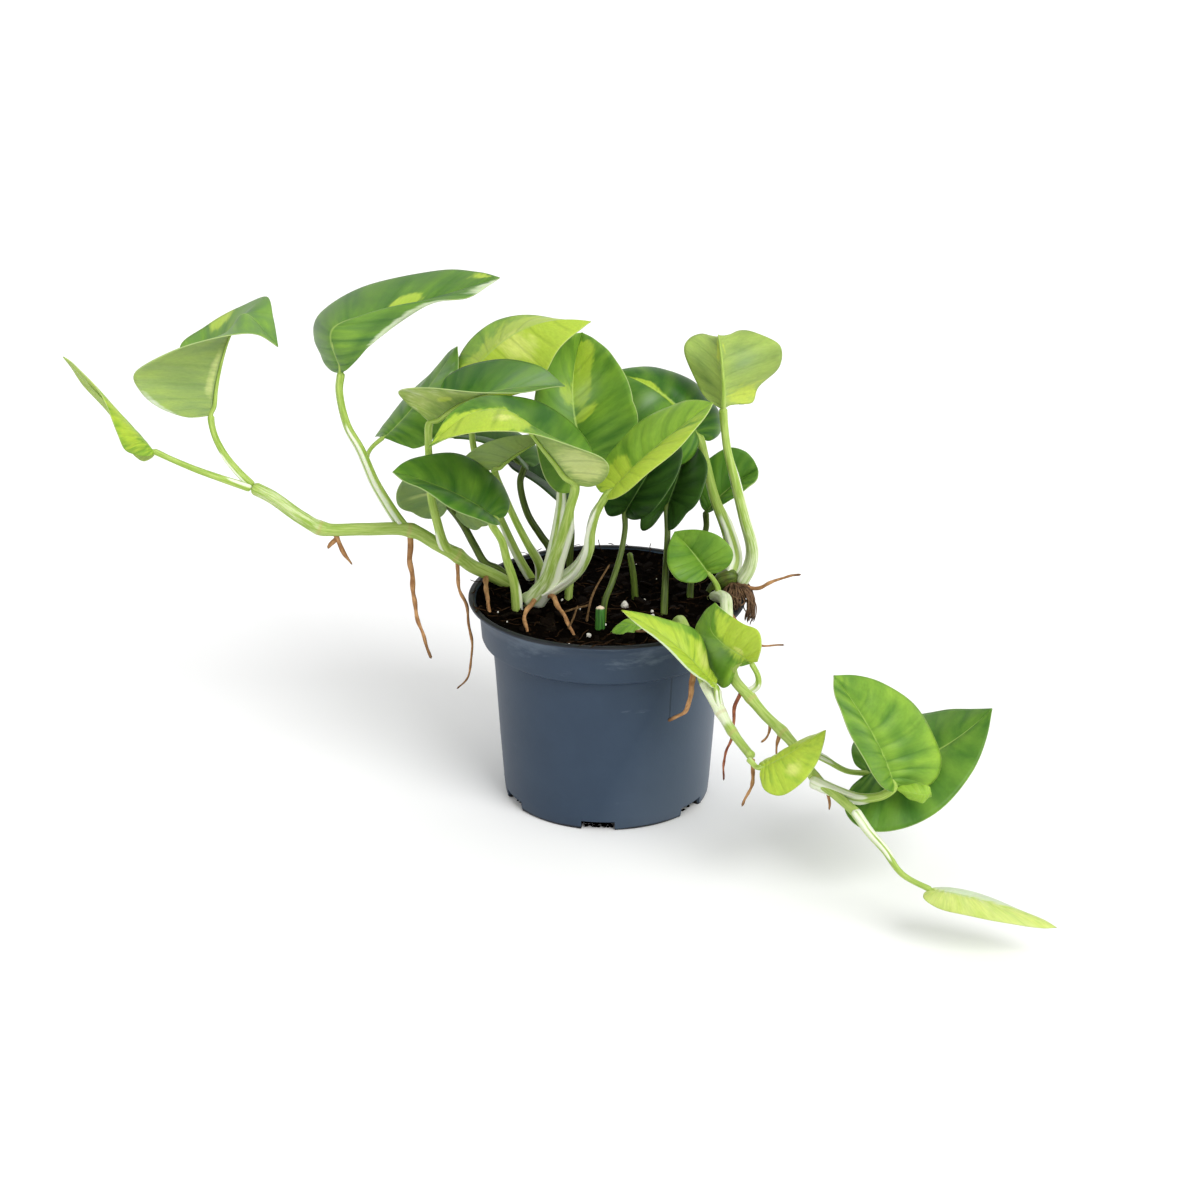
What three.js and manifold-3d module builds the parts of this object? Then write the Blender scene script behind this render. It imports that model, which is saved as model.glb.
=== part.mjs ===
// Potted green pothos: a young climbing aroid in a round nursery pot.
// Millimetres, +Z up. The origin is the middle of the pot's foot, on the surface it stands on;
// -Y is the side seen from the front, and the two long vines run to -X and +X.
import * as THREE from 'three';
import { mergeVertices } from 'three/addons/utils/BufferGeometryUtils.js';
import Module from 'manifold-3d';

const wasm = await Module();
wasm.setup();

// Driving dimensions
const GAP = 0.3;                 // clearance between pieces that touch
const POT = {
  rimRadius: 62, height: 95,     // outside of the rim, and its top
  rimEdge: 0.9, rimWidth: 2.6, rimRound: 0.7,
  flareFoot: 86.5, flareHeight: 91, flareRadius: 59.4,
  collarRadius: 57, collarFoot: 75, collarDraft: 0.8, stepHeight: 1.5,
  neckRadius: 51.4, footRadius: 46.4, footRound: 1.2,
  wall: 1.6, floor: 1.8, sides: 48,
};
const CHANNEL = {                // drain channels under the foot
  count: 6, height: 4.3, width: 15, inner: 22, wall: 1.5, turn: -95, hole: 3.5, holeAt: 33,
};
const SOIL = { edge: 90, shoulder: 91.5, shoulderAt: 0.6, crown: 92, sides: 24 };
const BLADE = { thickness: 0.8, columns: 3, reference: 0.28 };
const PETIOLE = { sides: 6, step: 9, run: 0.1, tip: 0.7 };
const STEM = { sides: 8, step: 7 };
const ROOT = { sides: 5, step: 6, tip: 0.45 };

// Half of a heart-shaped blade from the petiole to the tip:
// the place along the midrib and the part of the half width.
const OUTLINE = [
  [0, 0], [-0.07, 0.24], [-0.05, 0.62], [0.09, 0.92], [BLADE.reference, 1],
  [0.53, 0.91], [0.76, 0.62], [0.91, 0.29], [1, 0],
];
const WIDEST_ROW = 4;

const V = (p) => new THREE.Vector3(...p);

// Leaves, each grown as one piece with its petiole. The petiole runs from the stem to the base of
// the blade. Left and right are the widest points of the two halves, seen from the upper side with
// the tip away. twist turns the far end about the midrib, in degrees, and arch puffs each half up.
// lobe scales how far the lobes reach back past the petiole. fold scales how steeply the halves
// stand at the base, and how steeply the left and the right half stand at the tip.
// The folded leaves are drawn by three lines from the base instead: the midrib up to the tip, and
// each margin by its seven points between the base and the tip.
const LEAVES = {
  leaf_far_left: {
    petiole: [[-158, -6, 148], [-168, -7, 152], [-180, -8, 157], [-191, -8, 162]],
    color: 0xa9c23f, radius: [2, 1.3],
    base: [-197, -8, 165], mid: [-210, -9, 181], tip: [-233, -14, 210],
    left: [-210, -22, 177], right: [-213, 6, 169], arch: 0.11, lobe: 1.2,
    fold: [2.0, -1.2, 0.7], twist: -3,
  },
  leaf_left_folded: {
    petiole: [[-157, -4, 149], [-162, -3, 154], [-168, -2, 162], [-172, -1, 171]],
    color: 0x9bb56b, radius: [2, 1.4],
    base: [-173, 0, 179], arch: 0.03,
    midrib: [[-170, 2, 196], [-164, 3, 214], [-156, 3, 224], [-142, -3, 211]],
    leftMargin: [[-178, 3, 183], [-185, 7, 196], [-187, 17, 206], [-177, 28, 211],
      [-163, 30, 219], [-149, 21, 227], [-145, 9, 220]],
    rightMargin: [[-183, -3, 179], [-194, -8, 185], [-201, -13, 194], [-202, -16, 204],
      [-184, -20, 215], [-161, -18, 220], [-150, -11, 219]],
  },
  leaf_left_tall: {
    petiole: [[-89, -4, 127], [-95, -3, 136], [-102, -1, 148],
      [-108, 0, 163], [-114, 2, 174], [-117, 4, 189]],
    color: 0x5f9440, radius: [2.6, 1.6],
    base: [-116, 4, 197], arch: 0.05,
    midrib: [[-119, 3, 217], [-97, 2, 225], [-71, 1, 232], [-46, 0, 241]],
    leftMargin: [[-120, 11, 196], [-126, 20, 199], [-130, 28, 205], [-126, 31, 216],
      [-106, 26, 230], [-73, 18, 239], [-56, 9, 241]],
    rightMargin: [[-113, -1, 200], [-107, -5, 207], [-101, -6, 213], [-91, -5, 221],
      [-75, -9, 232], [-60, -11, 235], [-51, -6, 239]],
  },
  leaf_dusty: {
    petiole: [[-69, 3, 114], [-72, 0, 118], [-75, -8, 133],
      [-77, -14, 148], [-77, -20, 165], [-77, -22, 175]],
    color: 0x5f8f57, radius: [2.4, 1.6],
    base: [-76, -22, 183], arch: 0.03,
    midrib: [[-64, -23, 192], [-50, -23, 197], [-34, -22, 199], [-18, -21, 199]],
    leftMargin: [[-74, -18, 188], [-72, -9, 193], [-69, -2, 198], [-60, 1, 202], [-44, -1, 205],
      [-30, -6, 203], [-22, -14, 200]],
    rightMargin: [[-80, -25, 188], [-85, -30, 194], [-88, -36, 202], [-75, -42, 205],
      [-54, -43, 203], [-39, -37, 201], [-26, -29, 201]],
  },
  leaf_behind_dusty: {
    petiole: [[-92, 6, 124], [-104, 10, 145], [-106, 12, 157]],
    color: 0x3d7a2a, radius: [1.6, 0.9],
    base: [-99, 14, 164], mid: [-84, 22, 178], tip: [-66, 24, 203],
    left: [-94, 41, 168], right: [-75, 4, 168], arch: 0.1, lobe: 0,
  },
  leaf_lime_top: {
    petiole: [[-31, 30, 84], [-39, 26, 100], [-47, 22, 120],
      [-54, 16, 141], [-59, 10, 160], [-60, 8, 179]],
    color: 0xb5d04a, radius: [2.4, 1.4],
    base: [-60, 8, 195], mid: [-36, 11, 215], tip: [-7, 8, 219],
    left: [-49, 35, 211], right: [-31, -6, 196], arch: 0, lobe: 0.8,
    fold: [1.2, 1.0, 1.5], twist: -41,
  },
  leaf_centre_tall: {
    petiole: [[-28, 0, 97], [-23, 0, 118], [-20, -1, 137], [-19, -2, 147], [-13, -2, 153]],
    color: 0x6fa53c, radius: [2.8, 1.5],
    base: [-7, -2, 156], mid: [-15, 9, 182], tip: [-11, 32, 207],
    left: [-31, -22, 175], right: [11, -8, 188], arch: 0, lobe: 0.7,
    fold: [0.7, 1.8, 0.7], twist: -12,
  },
  leaf_front_arched: {
    petiole: [[-34, -8, 95], [-26, -14, 108], [-23, -19, 119], [-19, -27, 134], [-16, -36, 149]],
    color: 0x7fb03a, radius: [4, 1.8],
    base: [-14, -42, 162], arch: 0.05,
    midrib: [[-26, -47, 180], [-40, -53, 198], [-58, -60, 199], [-74, -66, 187]],
    leftMargin: [[-7, -45, 162], [-1, -52, 168], [0, -61, 177], [-9, -69, 186], [-29, -74, 196],
      [-47, -74, 197], [-63, -70, 193]],
    rightMargin: [[-9, -36, 164], [-7, -28, 168], [-9, -22, 175], [-16, -23, 185],
      [-31, -31, 196], [-51, -45, 202], [-65, -58, 199]],
  },
  leaf_front_lime: {
    petiole: [[-30, -8, 97], [-21, -12, 104], [-13, -18, 113],
      [-8, -26, 126], [-7, -32, 137], [-4, -40, 150]],
    color: 0x8cb83e, radius: [3.4, 1.6],
    base: [1, -46, 160], mid: [21, -50, 182], tip: [44, -56, 203],
    left: [7, -30, 180], right: [19, -66, 177], arch: 0.1,
  },
  leaf_front_dark: {
    petiole: [[-40, -9, 84], [-41, -12, 104], [-44, -17, 118], [-46, -22, 129], [-50, -27, 139]],
    color: 0x2f6a1f, radius: [2.4, 1.6],
    base: [-48, -30, 142], mid: [-68, -36, 157], tip: [-91, -46, 169],
    left: [-62, -53, 154], right: [-55, -15, 161], arch: 0.1,
  },
  leaf_right_striped: {
    petiole: [[55, 9, 101], [57, 13, 107], [54, 16, 119], [48, 18, 135], [44, 20, 151]],
    color: 0x6a9a45, radius: [3.4, 1.8],
    base: [41, 20, 162], mid: [26, 26, 179], tip: [2, 38, 187],
    left: [18, 9, 155], right: [45, 47, 171], arch: 0.25, lobe: 1.2,
    fold: [0.5, 0.6, 0.3], twist: -3,
  },
  leaf_right_round: {
    petiole: [[61, 6, 99], [64, 6, 105], [65, 6, 113], [61, 6, 129],
      [58, 7, 141], [56, 7, 149], [53, 8, 161]],
    color: 0xa3cc52, radius: [3, 1.6],
    base: [51, 8, 179], arch: 0.05,
    midrib: [[51, 9, 190], [50, 12, 202], [49, 20, 209], [51, 31, 201]],
    leftMargin: [[56, 14, 180], [64, 20, 178], [67, 25, 184], [76, 22, 194], [76, 19, 205],
      [66, 24, 209], [57, 29, 208]],
    rightMargin: [[47, 12, 180], [42, 18, 183], [38, 21, 190], [34, 23, 201], [36, 27, 205],
      [42, 31, 206], [47, 32, 205]],
  },
  leaf_shade_back: {
    petiole: [[-16, 36, 84], [-17, 34, 96], [-16, 36, 111]],
    color: 0x1f4a12, radius: [1.8, 1.2],
    base: [-18, 49, 118], mid: [-31, 48, 132], tip: [-47, 49, 142],
    left: [-27, 26, 134], right: [-22, 70, 136], arch: 0.1,
  },
  leaf_shade_left: {
    petiole: [[-23, 33, 82], [-26, 30, 105], [-30, 29, 112], [-36, 26, 124], [-39, 26, 139]],
    color: 0x3f6a28, radius: [2, 1.5],
    base: [-37, 29, 146], mid: [-55, 33, 156], tip: [-78, 28, 158],
    left: [-45, 11, 158], right: [-44, 54, 156], arch: 0.1,
  },
  leaf_shade_round: {
    petiole: [[-2, -24, 84], [-1, -22, 100], [2, -18, 107], [6, -8, 117], [8, -2, 127]],
    color: 0x2c5a20, radius: [1.5, 1.2],
    base: [8, 0, 134], mid: [17, -2, 151], tip: [27, 5, 166],
    left: [3, -15, 155], right: [27, -16, 150], arch: 0.1,
  },
  leaf_shade_right: {
    petiole: [[25, -16, 84], [26, -6, 107], [27, 6, 121]],
    color: 0x2a5520, radius: [1.8, 1.3],
    base: [27, 14, 132], mid: [32, 18, 145], tip: [36, 26, 156],
    left: [15, 3, 139], right: [42, 0, 144], arch: 0.1, lobe: 4,
  },
  leaf_shade_far_right: {
    petiole: [[37, -2, 84], [38, 10, 98], [42, 22, 109], [45, 26, 117]],
    color: 0x3a7528, radius: [1.8, 1.3],
    base: [45, 27, 124], mid: [55, 30, 134], tip: [68, 30, 144],
    left: [48, 36, 148], right: [61, 18, 137], arch: 0.1,
  },
  leaf_low_pale: {
    petiole: [[-40, 28, 84], [-49, 23, 97.5], [-55, 22, 101], [-60, 24, 109], [-65, 24, 119]],
    color: 0x7f9d5f, radius: [2.2, 1.6],
    base: [-71, 22, 129], mid: [-74, 18, 142], tip: [-78, 10, 156],
    left: [-53, 17, 125], right: [-94, 17, 132], arch: 0.1, lobe: 3,
  },
  leaf_small_pale: {
    petiole: [[-31, 22, 84], [-30, 14, 102], [-35, 8, 115], [-40, 2, 128], [-45, -4, 143]],
    color: 0x93b068, radius: [2.2, 1.4],
    base: [-49, -8, 157], mid: [-38, -4, 164], tip: [-25, -2, 170],
    left: [-44, 10, 163], right: [-61, -6, 163], arch: 0.1,
  },
  leaf_small_round: {
    petiole: [[50, -4, 93], [49, -6, 101]],
    color: 0x6fb23a, radius: [1.8, 1],
    base: [45, -8, 108], mid: [38, -3, 116], tip: [30, 2, 124],
    left: [29, -15, 110], right: [54, -7, 121], arch: 0.1,
  },
  leaf_rim_left: {
    petiole: [[48, -74, 71], [47, -73, 76]],
    color: 0xa8cf42, radius: [1.6, 1.1],
    base: [46, -72, 82],
    midrib: [[40, -72, 89], [33, -72, 97], [21, -70, 106], [6, -66, 114]],
    leftMargin: [[45, -75, 82], [43, -78, 85], [40, -81, 88], [35, -82, 93],
      [26, -80, 101], [18, -76, 107], [11, -71, 111]],
    rightMargin: [[47, -68, 83], [45, -65, 84], [44, -63, 87], [42, -62, 95],
      [36, -62, 104], [24, -63, 109], [14, -64, 112]],
    arch: 0.05,
  },
  leaf_rim_right: {
    petiole: [[61, -72, 79], [64, -73, 82], [64, -74, 87]],
    color: 0x9ac845, radius: [1.6, 1.1],
    base: [61, -74, 93],
    midrib: [[55, -72, 97], [49, -69, 100], [44, -64, 105], [46, -60, 115]],
    leftMargin: [[57, -72, 91], [53, -71, 90], [53, -70, 84], [49, -67, 79],
      [41, -56, 86], [37, -52, 98], [41, -55, 108]],
    rightMargin: [[62, -77, 95], [64, -81, 98], [65, -82, 104], [63, -79, 110],
      [57, -74, 111], [52, -67, 112], [48, -63, 114]],
    arch: 0.06,
  },
  leaf_vine_lime: {
    petiole: [[60, -106, 62], [62, -109, 61]],
    color: 0xc2d84a, radius: [1.4, 1],
    base: [64, -112, 62], mid: [76, -114, 70], tip: [90, -116, 81],
    left: [73, -97, 62], right: [75, -127, 58], arch: 0.1,
  },
  leaf_vine_quilted: {
    petiole: [[87, -106, 53], [97, -110, 50], [106, -114, 49], [115, -117, 52]],
    color: 0x64a238, radius: [2.4, 1.8],
    base: [119, -116, 56], mid: [108, -112, 80], tip: [93, -110, 103],
    left: [102, -137, 81], right: [137, -98, 71], arch: 0.1,
  },
  leaf_vine_wide: {
    petiole: [[83, -98, 64], [93, -97, 58], [101, -96, 53]],
    color: 0x5a9a35, radius: [1.6, 1.1],
    base: [110, -92, 50], mid: [138, -89, 58], tip: [163, -83, 76],
    left: [120, -59, 59], right: [120, -118, 36], arch: 0.1,
  },
  leaf_vine_end: {
    petiole: [[103, -124, 46], [108, -128, 40], [114, -134, 35], [121, -142, 28]],
    color: 0xc0d57a, radius: [1.9, 1.1],
    base: [132, -150, 25], mid: [153, -158, 24], tip: [182, -164, 15],
    left: [151, -148, 22], right: [142, -165, 22], arch: 0.1,
  },
};

// What each petiole grows from, and which earlier leaves its own start is cut clear of
const GROWS = {
  leaf_far_left: ['stem_left_vine', 'leaf_left_folded'],
  leaf_left_folded: ['stem_left_vine'],
  leaf_left_tall: ['stem_left_vine'],
  leaf_dusty: ['stem_left_vine'],
  leaf_behind_dusty: ['stem_left_vine', 'leaf_left_tall'],
  leaf_front_arched: ['stem_front', 'root_front_left', 'root_front_right'],
  leaf_front_lime: ['stem_front', 'root_front_right', 'leaf_front_arched'],
  leaf_centre_tall: ['stem_front', 'leaf_front_arched', 'leaf_front_lime'],
  leaf_right_striped: ['stem_right_knot'],
  leaf_right_round: ['stem_right_knot', 'leaf_right_striped'],
  leaf_small_round: ['stem_right_vine'],
  leaf_rim_left: ['stem_side_vine'],
  leaf_rim_right: ['stem_right_vine'],
  leaf_vine_lime: ['stem_side_vine'],
  leaf_vine_quilted: ['stem_right_vine'],
  leaf_vine_wide: ['stem_right_vine'],
  leaf_vine_end: ['stem_right_vine'],
};

// Stems, from the soil outwards, with the radius at each end
const STEMS = {
  stem_left_vine: {
    path: [
      [-42, 24, 80], [-45, 20, 91], [-52, 15, 98], [-61, 9, 105], [-67, 4, 112], [-75, 1, 118],
      [-87, -4, 127], [-107, -8, 129], [-125, -10, 130], [-134, -10, 135], [-147, -8, 144], [-156, -6, 148],
    ],
    radius: [3.1, 2.6], color: 0xa9c65a,
  },
  stem_right_vine: {
    path: [
      [42, 6, 80], [48, 0, 93], [52, -16, 99], [52, -34, 101], [52, -50, 95], [54, -66, 83],
      [61, -74, 77], [67, -81, 72], [74, -89, 68], [80, -96, 63], [87, -104, 54], [96, -112, 49],
      [104, -121, 45],
    ],
    radius: [2.6, 2], color: 0xa9c65a,
  },
  stem_side_vine: {
    path: [
      [28, -20, 80], [31, -30, 94], [33, -46, 99], [35.3, -58.5, 95.5], [41, -67, 82], [48, -74, 71],
      [53, -82, 65], [58, -90, 61], [61, -97, 60],
    ],
    radius: [2.4, 1.8], color: 0xb5cf63,
  },
  stem_front: { path: [[-37, 2, 80], [-36, -1, 91], [-31, -7, 96]], radius: [3.2, 3.8], color: 0xc3d68c },
  stem_right_knot: {
    path: [[43, 12, 80], [48, 10, 92], [53, 8, 99], [59, 7, 101]], radius: [3, 3.9], color: 0x9a7a4e,
  },
  stem_dry: { path: [[13, 2, 80], [12, 0, 102], [10, 0, 115]], radius: [1.7, 1.3], color: 0x4d4a2c },
  stem_stub: { path: [[-18, 3, 80], [-17, 2, 97], [-16, 2, 104]], radius: [2, 1.7], color: 0x4c7a35 },
  stem_cut: { path: [[-4, -34, 80], [-3, -33, 93], [-3, -31, 102]], radius: [2.3, 2.1], color: 0x3f7a2e },
};

// Aerial roots: the path from the stem out, the thickest radius and the colour. A root with more
// than one path is one tuft.
const ROOTS = {
  root_vine_end: { paths: [[[-120, -9, 128], [-117, -9, 120], [-113, -8, 112]],
    [[-119, -9, 125], [-122, -9, 122], [-123, -9, 120]]], radius: 1.3, on: ['stem_left_vine'] },
  root_left_long: { paths: [[[-87, -4, 126], [-87, -4, 105], [-84, -5, 83], [-79, -6, 66]]],
    radius: 1.4, on: ['stem_left_vine'] },
  root_left_inner: { paths: [[[-67, 4, 110], [-66, 4, 95], [-63, 5, 86], [-62, 5, 78], [-61, 3, 67],
    [-63, 2, 54], [-68, 0, 48]]], radius: 0.9, on: ['stem_left_vine'] },
  root_soil_left: { paths: [[[-54, 15, 98], [-54.5, 6, 98.5], [-52, -14, 92.5], [-50.5, -19, 86]]],
    radius: 1.3, on: ['stem_left_vine'] },
  root_front_left: { paths: [[[-31, -9, 97], [-34, -18, 97], [-36, -28, 95], [-35, -36, 92],
    [-34.5, -39, 87]]], radius: 1.3, on: ['stem_front'] },
  root_front_right: { paths: [[[-29, -7, 96], [-24.3, -14, 99.5], [-21.6, -22, 98], [-15, -37, 92],
    [-13.5, -40, 87]]], radius: 1.3, on: ['stem_front'] },
  root_over_collar: { paths: [[[37, -64, 86], [36, -64, 73], [33, -62, 65], [26, -60, 60]]],
    radius: 1.4, on: ['stem_side_vine'] },
  root_red_long: { paths: [[[58, -71, 80], [55, -72, 73], [54, -73, 65], [53, -73, 57], [51, -73, 50],
    [50, -72, 37]]], radius: 0.9, on: ['stem_right_vine'] },
  root_branch_upper: { paths: [[[69, -84, 70], [68, -84, 63], [65, -85, 61]]],
    radius: 0.8, on: ['stem_right_vine'] },
  root_branch_lower: { paths: [[[73, -88, 68], [72, -88, 61], [72, -88, 56]]],
    radius: 0.9, on: ['stem_right_vine'] },
  root_side_end: { paths: [[[61, -98, 60], [61, -106, 52], [57, -110, 46], [56, -110, 43]]],
    radius: 1, on: ['stem_side_vine'] },
  root_vine_short: { paths: [[[92, -108, 51], [93, -108, 44], [93, -108, 40]]],
    radius: 0.8, on: ['stem_right_vine'] },
  root_rim_long: { paths: [[[59, 5, 98], [67, 4, 96], [73, 3, 99], [82, 2, 103], [87, 1, 104]]],
    radius: 1, on: ['stem_right_knot'] },
  root_rim_short: { paths: [[[52, -30, 101], [62, -33, 88], [68, -33, 84], [78, -31, 83]]],
    radius: 0.8, on: ['stem_right_vine'] },
  root_rim_tuft: { paths: [[[58, 6, 97.5], [62.5, 3, 97], [65.4, 2, 91], [65, 0, 86]],
    [[58, 6, 97.5], [62.5, 6, 97], [65.6, 6, 91], [65.5, 5, 85]],
    [[58, 6, 97.5], [62, -1, 97], [65, -5, 91], [64.5, -7, 86]]], radius: 1.3,
    on: ['stem_right_knot', 'root_rim_long'] },
};

const SPROUT = { base: [4, -37, 92.9], mid: [10, -35, 94], tip: [16, -33, 93.5],
  left: [8, -32, 94], right: [8, -39, 93.6], arch: 0.05 };

// A finished piece with its own material
const object = new THREE.Group();
function piece(name, geometry, color, roughness) {
  const material = new THREE.MeshStandardMaterial({ color, roughness, metalness: 0 });
  const mesh = new THREE.Mesh(geometry, material);
  mesh.name = name;
  object.add(mesh);
}

// A closed geometry as a solid that can be joined and cut
function solid(geometry) {
  const bare = geometry.clone();
  bare.deleteAttribute('normal');
  bare.deleteAttribute('uv');
  const merged = mergeVertices(bare, 1e-4);
  return new wasm.Manifold(new wasm.Mesh({
    numProp: 3,
    vertProperties: merged.attributes.position.array,
    triVerts: Uint32Array.from(merged.index.array),
  }));
}

// A joined or cut solid as a geometry, without the slivers that a cut can leave
function geometryOf(manifold) {
  const [body] = manifold.decompose().sort((a, b) => b.volume() - a.volume());
  const mesh = body.getMesh();
  const geometry = new THREE.BufferGeometry();
  geometry.setAttribute('position', new THREE.BufferAttribute(mesh.vertProperties, 3));
  geometry.setIndex(new THREE.BufferAttribute(mesh.triVerts, 1));
  geometry.computeVertexNormals();
  return geometry;
}

// A round rod along a smooth path, with the radius given along it from 0 to 1
function rod(points, radiusAt, { sides, step }) {
  const path = new THREE.CatmullRomCurve3(points.map(V), false, 'centripetal');
  const steps = Math.max(2, Math.round(path.getLength() / step));
  const corner = (_, i) => {
    const turn = (2 * Math.PI * i) / sides;
    return new THREE.Vector2(Math.cos(turn), Math.sin(turn));
  };
  const section = new THREE.Shape(Array.from({ length: sides }, corner));
  const geometry = new THREE.ExtrudeGeometry(section, { extrudePath: path, steps });
  const stations = path.getSpacedPoints(steps);
  const position = geometry.attributes.position;
  const point = new THREE.Vector3();
  for (let i = 0; i < position.count; i++) {
    point.fromBufferAttribute(position, i);
    const away = stations.map((station) => station.distanceTo(point));
    const nearest = away.indexOf(Math.min(...away));
    const centre = stations[nearest];
    point.sub(centre).multiplyScalar(radiusAt(nearest / steps)).add(centre);
    position.setXYZ(i, point.x, point.y, point.z);
  }
  return solid(geometry);
}

const taper = (from, to, grow = 0) => (t) => from + (to - from) * t + grow;

const drawnLine = (points) => new THREE.CatmullRomCurve3(points.map(V), false, 'catmullrom');

// The midrib as a point and a direction anywhere along it: a drawn line, or else one even bow from
// the base through the middle to the tip
function midribOf(leaf) {
  if (leaf.midrib) {
    const line = drawnLine([leaf.base, ...leaf.midrib]);
    const within = (s) => THREE.MathUtils.clamp(s, 0, 1);
    return { point: (s) => line.getPoint(within(s)), along: (s) => line.getTangent(within(s)) };
  }
  const [base, mid, tip] = [leaf.base, leaf.mid, leaf.tip].map(V);
  const control = mid.clone().multiplyScalar(2).addScaledVector(base, -0.5).addScaledVector(tip, -0.5);
  const start = control.clone().sub(base);
  const end = tip.clone().sub(control);
  const point = (s) => base.clone().multiplyScalar((1 - s) ** 2)
    .addScaledVector(control, 2 * s * (1 - s)).addScaledVector(tip, s * s);
  const along = (s) => start.clone().multiplyScalar(1 - s).addScaledVector(end, s).normalize();
  return { point, along };
}

// The blade's frame anywhere along its midrib: a point, and unit vectors along the midrib,
// towards the right margin and up from the upper surface
function bladeFrame(leaf) {
  const { point, along } = midribOf(leaf);
  const reference = along(BLADE.reference);
  const left = leaf.left ?? leaf.leftMargin[WIDEST_ROW - 1];
  const right = leaf.right ?? leaf.rightMargin[WIDEST_ROW - 1];
  const span = V(right).sub(V(left));
  const across = span.addScaledVector(reference, -span.dot(reference)).normalize();
  const turn = THREE.MathUtils.degToRad(leaf.twist ?? 0);
  return (s) => {
    const forward = along(s);
    const side = across.clone().addScaledVector(forward, -across.dot(forward)).normalize();
    side.applyAxisAngle(forward, turn * (s - BLADE.reference));
    return { point: point(s), forward, side, up: side.clone().cross(forward) };
  };
}

// How steeply a half stands, against how it stands at its widest point
function foldAt(leaf, s, column) {
  const [base, left, right] = leaf.fold ?? [1, 1, 1];
  const tip = column < 0 ? left : right;
  const reference = BLADE.reference;
  if (s > reference) return 1 + ((tip - 1) * (s - reference)) / (1 - reference);
  return 1 + ((base - 1) * (reference - s)) / reference;
}

// A drawn blade, as rows of points from the base to the tip: each row runs straight from the midrib
// to both margins and is puffed up by the arch
function drawnRows(leaf, columns) {
  const { point, along } = midribOf(leaf);
  const tip = leaf.midrib.at(-1);
  const [left, right] = [leaf.leftMargin, leaf.rightMargin].map((margin) => [leaf.base, ...margin, tip]);
  return OUTLINE.map((_, row) => {
    const root = (row / (OUTLINE.length - 1)) ** 2;
    const points = [];
    for (let column = -columns; column <= columns; column++) {
      const v = Math.abs(column) / columns;
      const out = V((column < 0 ? left : right)[row]).sub(point(root));
      const above = out.clone().cross(along(root)).normalize().multiplyScalar(Math.sign(column));
      const puff = leaf.arch * out.length() * 4 * v * (1 - v);
      points.push(point(root).addScaledVector(out, v).addScaledVector(above, puff));
    }
    return points;
  });
}

// The middle surface of a blade, as rows of points from the base to the tip. A row starts on the
// midrib and sweeps out to both margins, as the side veins do.
function bladeRows(leaf, columns) {
  const frame = bladeFrame(leaf);
  const home = frame(BLADE.reference);
  const [left, right] = [leaf.left, leaf.right].map((edge) => {
    const span = V(edge).sub(home.point);
    return new THREE.Vector3(span.dot(home.forward), span.dot(home.side), span.dot(home.up));
  });
  return OUTLINE.map(([along, reach], row) => {
    const root = (row / (OUTLINE.length - 1)) ** 2;
    const points = [];
    for (let column = -columns; column <= columns; column++) {
      const v = Math.abs(column) / columns;
      const half = column < 0 ? left : right;
      const margin = along < 0 ? along * (leaf.lobe ?? 1) : along;
      const s = root + (margin - root) * v ** 1.5;
      const { point, forward, side, up } = frame(s);
      const puff = leaf.arch * half.length() * 4 * v * (1 - v);
      const stand = Math.atan2(half.z, Math.abs(half.y)) * foldAt(leaf, s, column);
      const spread = Math.hypot(half.y, half.z) * v;
      points.push(point.addScaledVector(forward, half.x * v * reach)
        .addScaledVector(side, Math.sign(half.y) * Math.cos(stand) * spread * reach)
        .addScaledVector(up, (Math.sin(stand) * spread + puff) * reach));
    }
    return points;
  });
}

// A blade with sharp margins: an upper and a lower skin that meet all round the outline
function blade(leaf) {
  const rows = leaf.midrib ? drawnRows(leaf, BLADE.columns) : bladeRows(leaf, BLADE.columns);
  const width = 2 * BLADE.columns + 1;
  const last = rows.length - 1;
  const middle = new THREE.BufferGeometry().setFromPoints(rows.flat());
  const faces = [];
  const at = (row, column) => row * width + column;
  for (let row = 0; row < last; row++) {
    for (let column = 0; column < width - 1; column++) {
      if (row > 0) faces.push([at(row, column), at(row, column + 1), at(row + 1, column + 1)]);
      if (row < last - 1) faces.push([at(row, column), at(row + 1, column + 1), at(row + 1, column)]);
    }
  }
  // the base and the tip are one point each
  const single = (index) => (index < width ? 0 : index >= at(last, 0) ? at(last, 0) : index);
  const skin = faces.map((face) => face.map(single));
  middle.setIndex(skin.flat());
  middle.computeVertexNormals();
  const count = rows.length * width;
  const positions = [];
  for (const way of [0.5, -0.5]) {
    rows.flat().forEach((point, index) => {
      const row = Math.floor(index / width);
      const column = index % width;
      const rim = row === 0 || row === last || column === 0 || column === width - 1;
      const normal = new THREE.Vector3().fromBufferAttribute(middle.attributes.normal, index);
      positions.push(...point.clone().addScaledVector(normal, rim ? 0 : way * BLADE.thickness));
    });
  }
  const geometry = new THREE.BufferGeometry();
  geometry.setAttribute('position', new THREE.Float32BufferAttribute(positions, 3));
  const under = skin.map(([a, b, c]) => [a + count, c + count, b + count]);
  geometry.setIndex([...skin, ...under].flat());
  return solid(geometry);
}

// The petiole runs on under the base of the blade as the start of the midrib
function petiole(leaf, grow = 0) {
  const frame = bladeFrame(leaf);
  const under = [PETIOLE.run / 2, PETIOLE.run].map((s) => {
    const { point, up } = frame(s);
    return point.addScaledVector(up, -PETIOLE.tip).toArray();
  });
  const [thick, thin] = leaf.radius;
  return rod([...leaf.petiole, leaf.base, ...under], taper(thick, thin * PETIOLE.tip, grow), PETIOLE);
}

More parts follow.
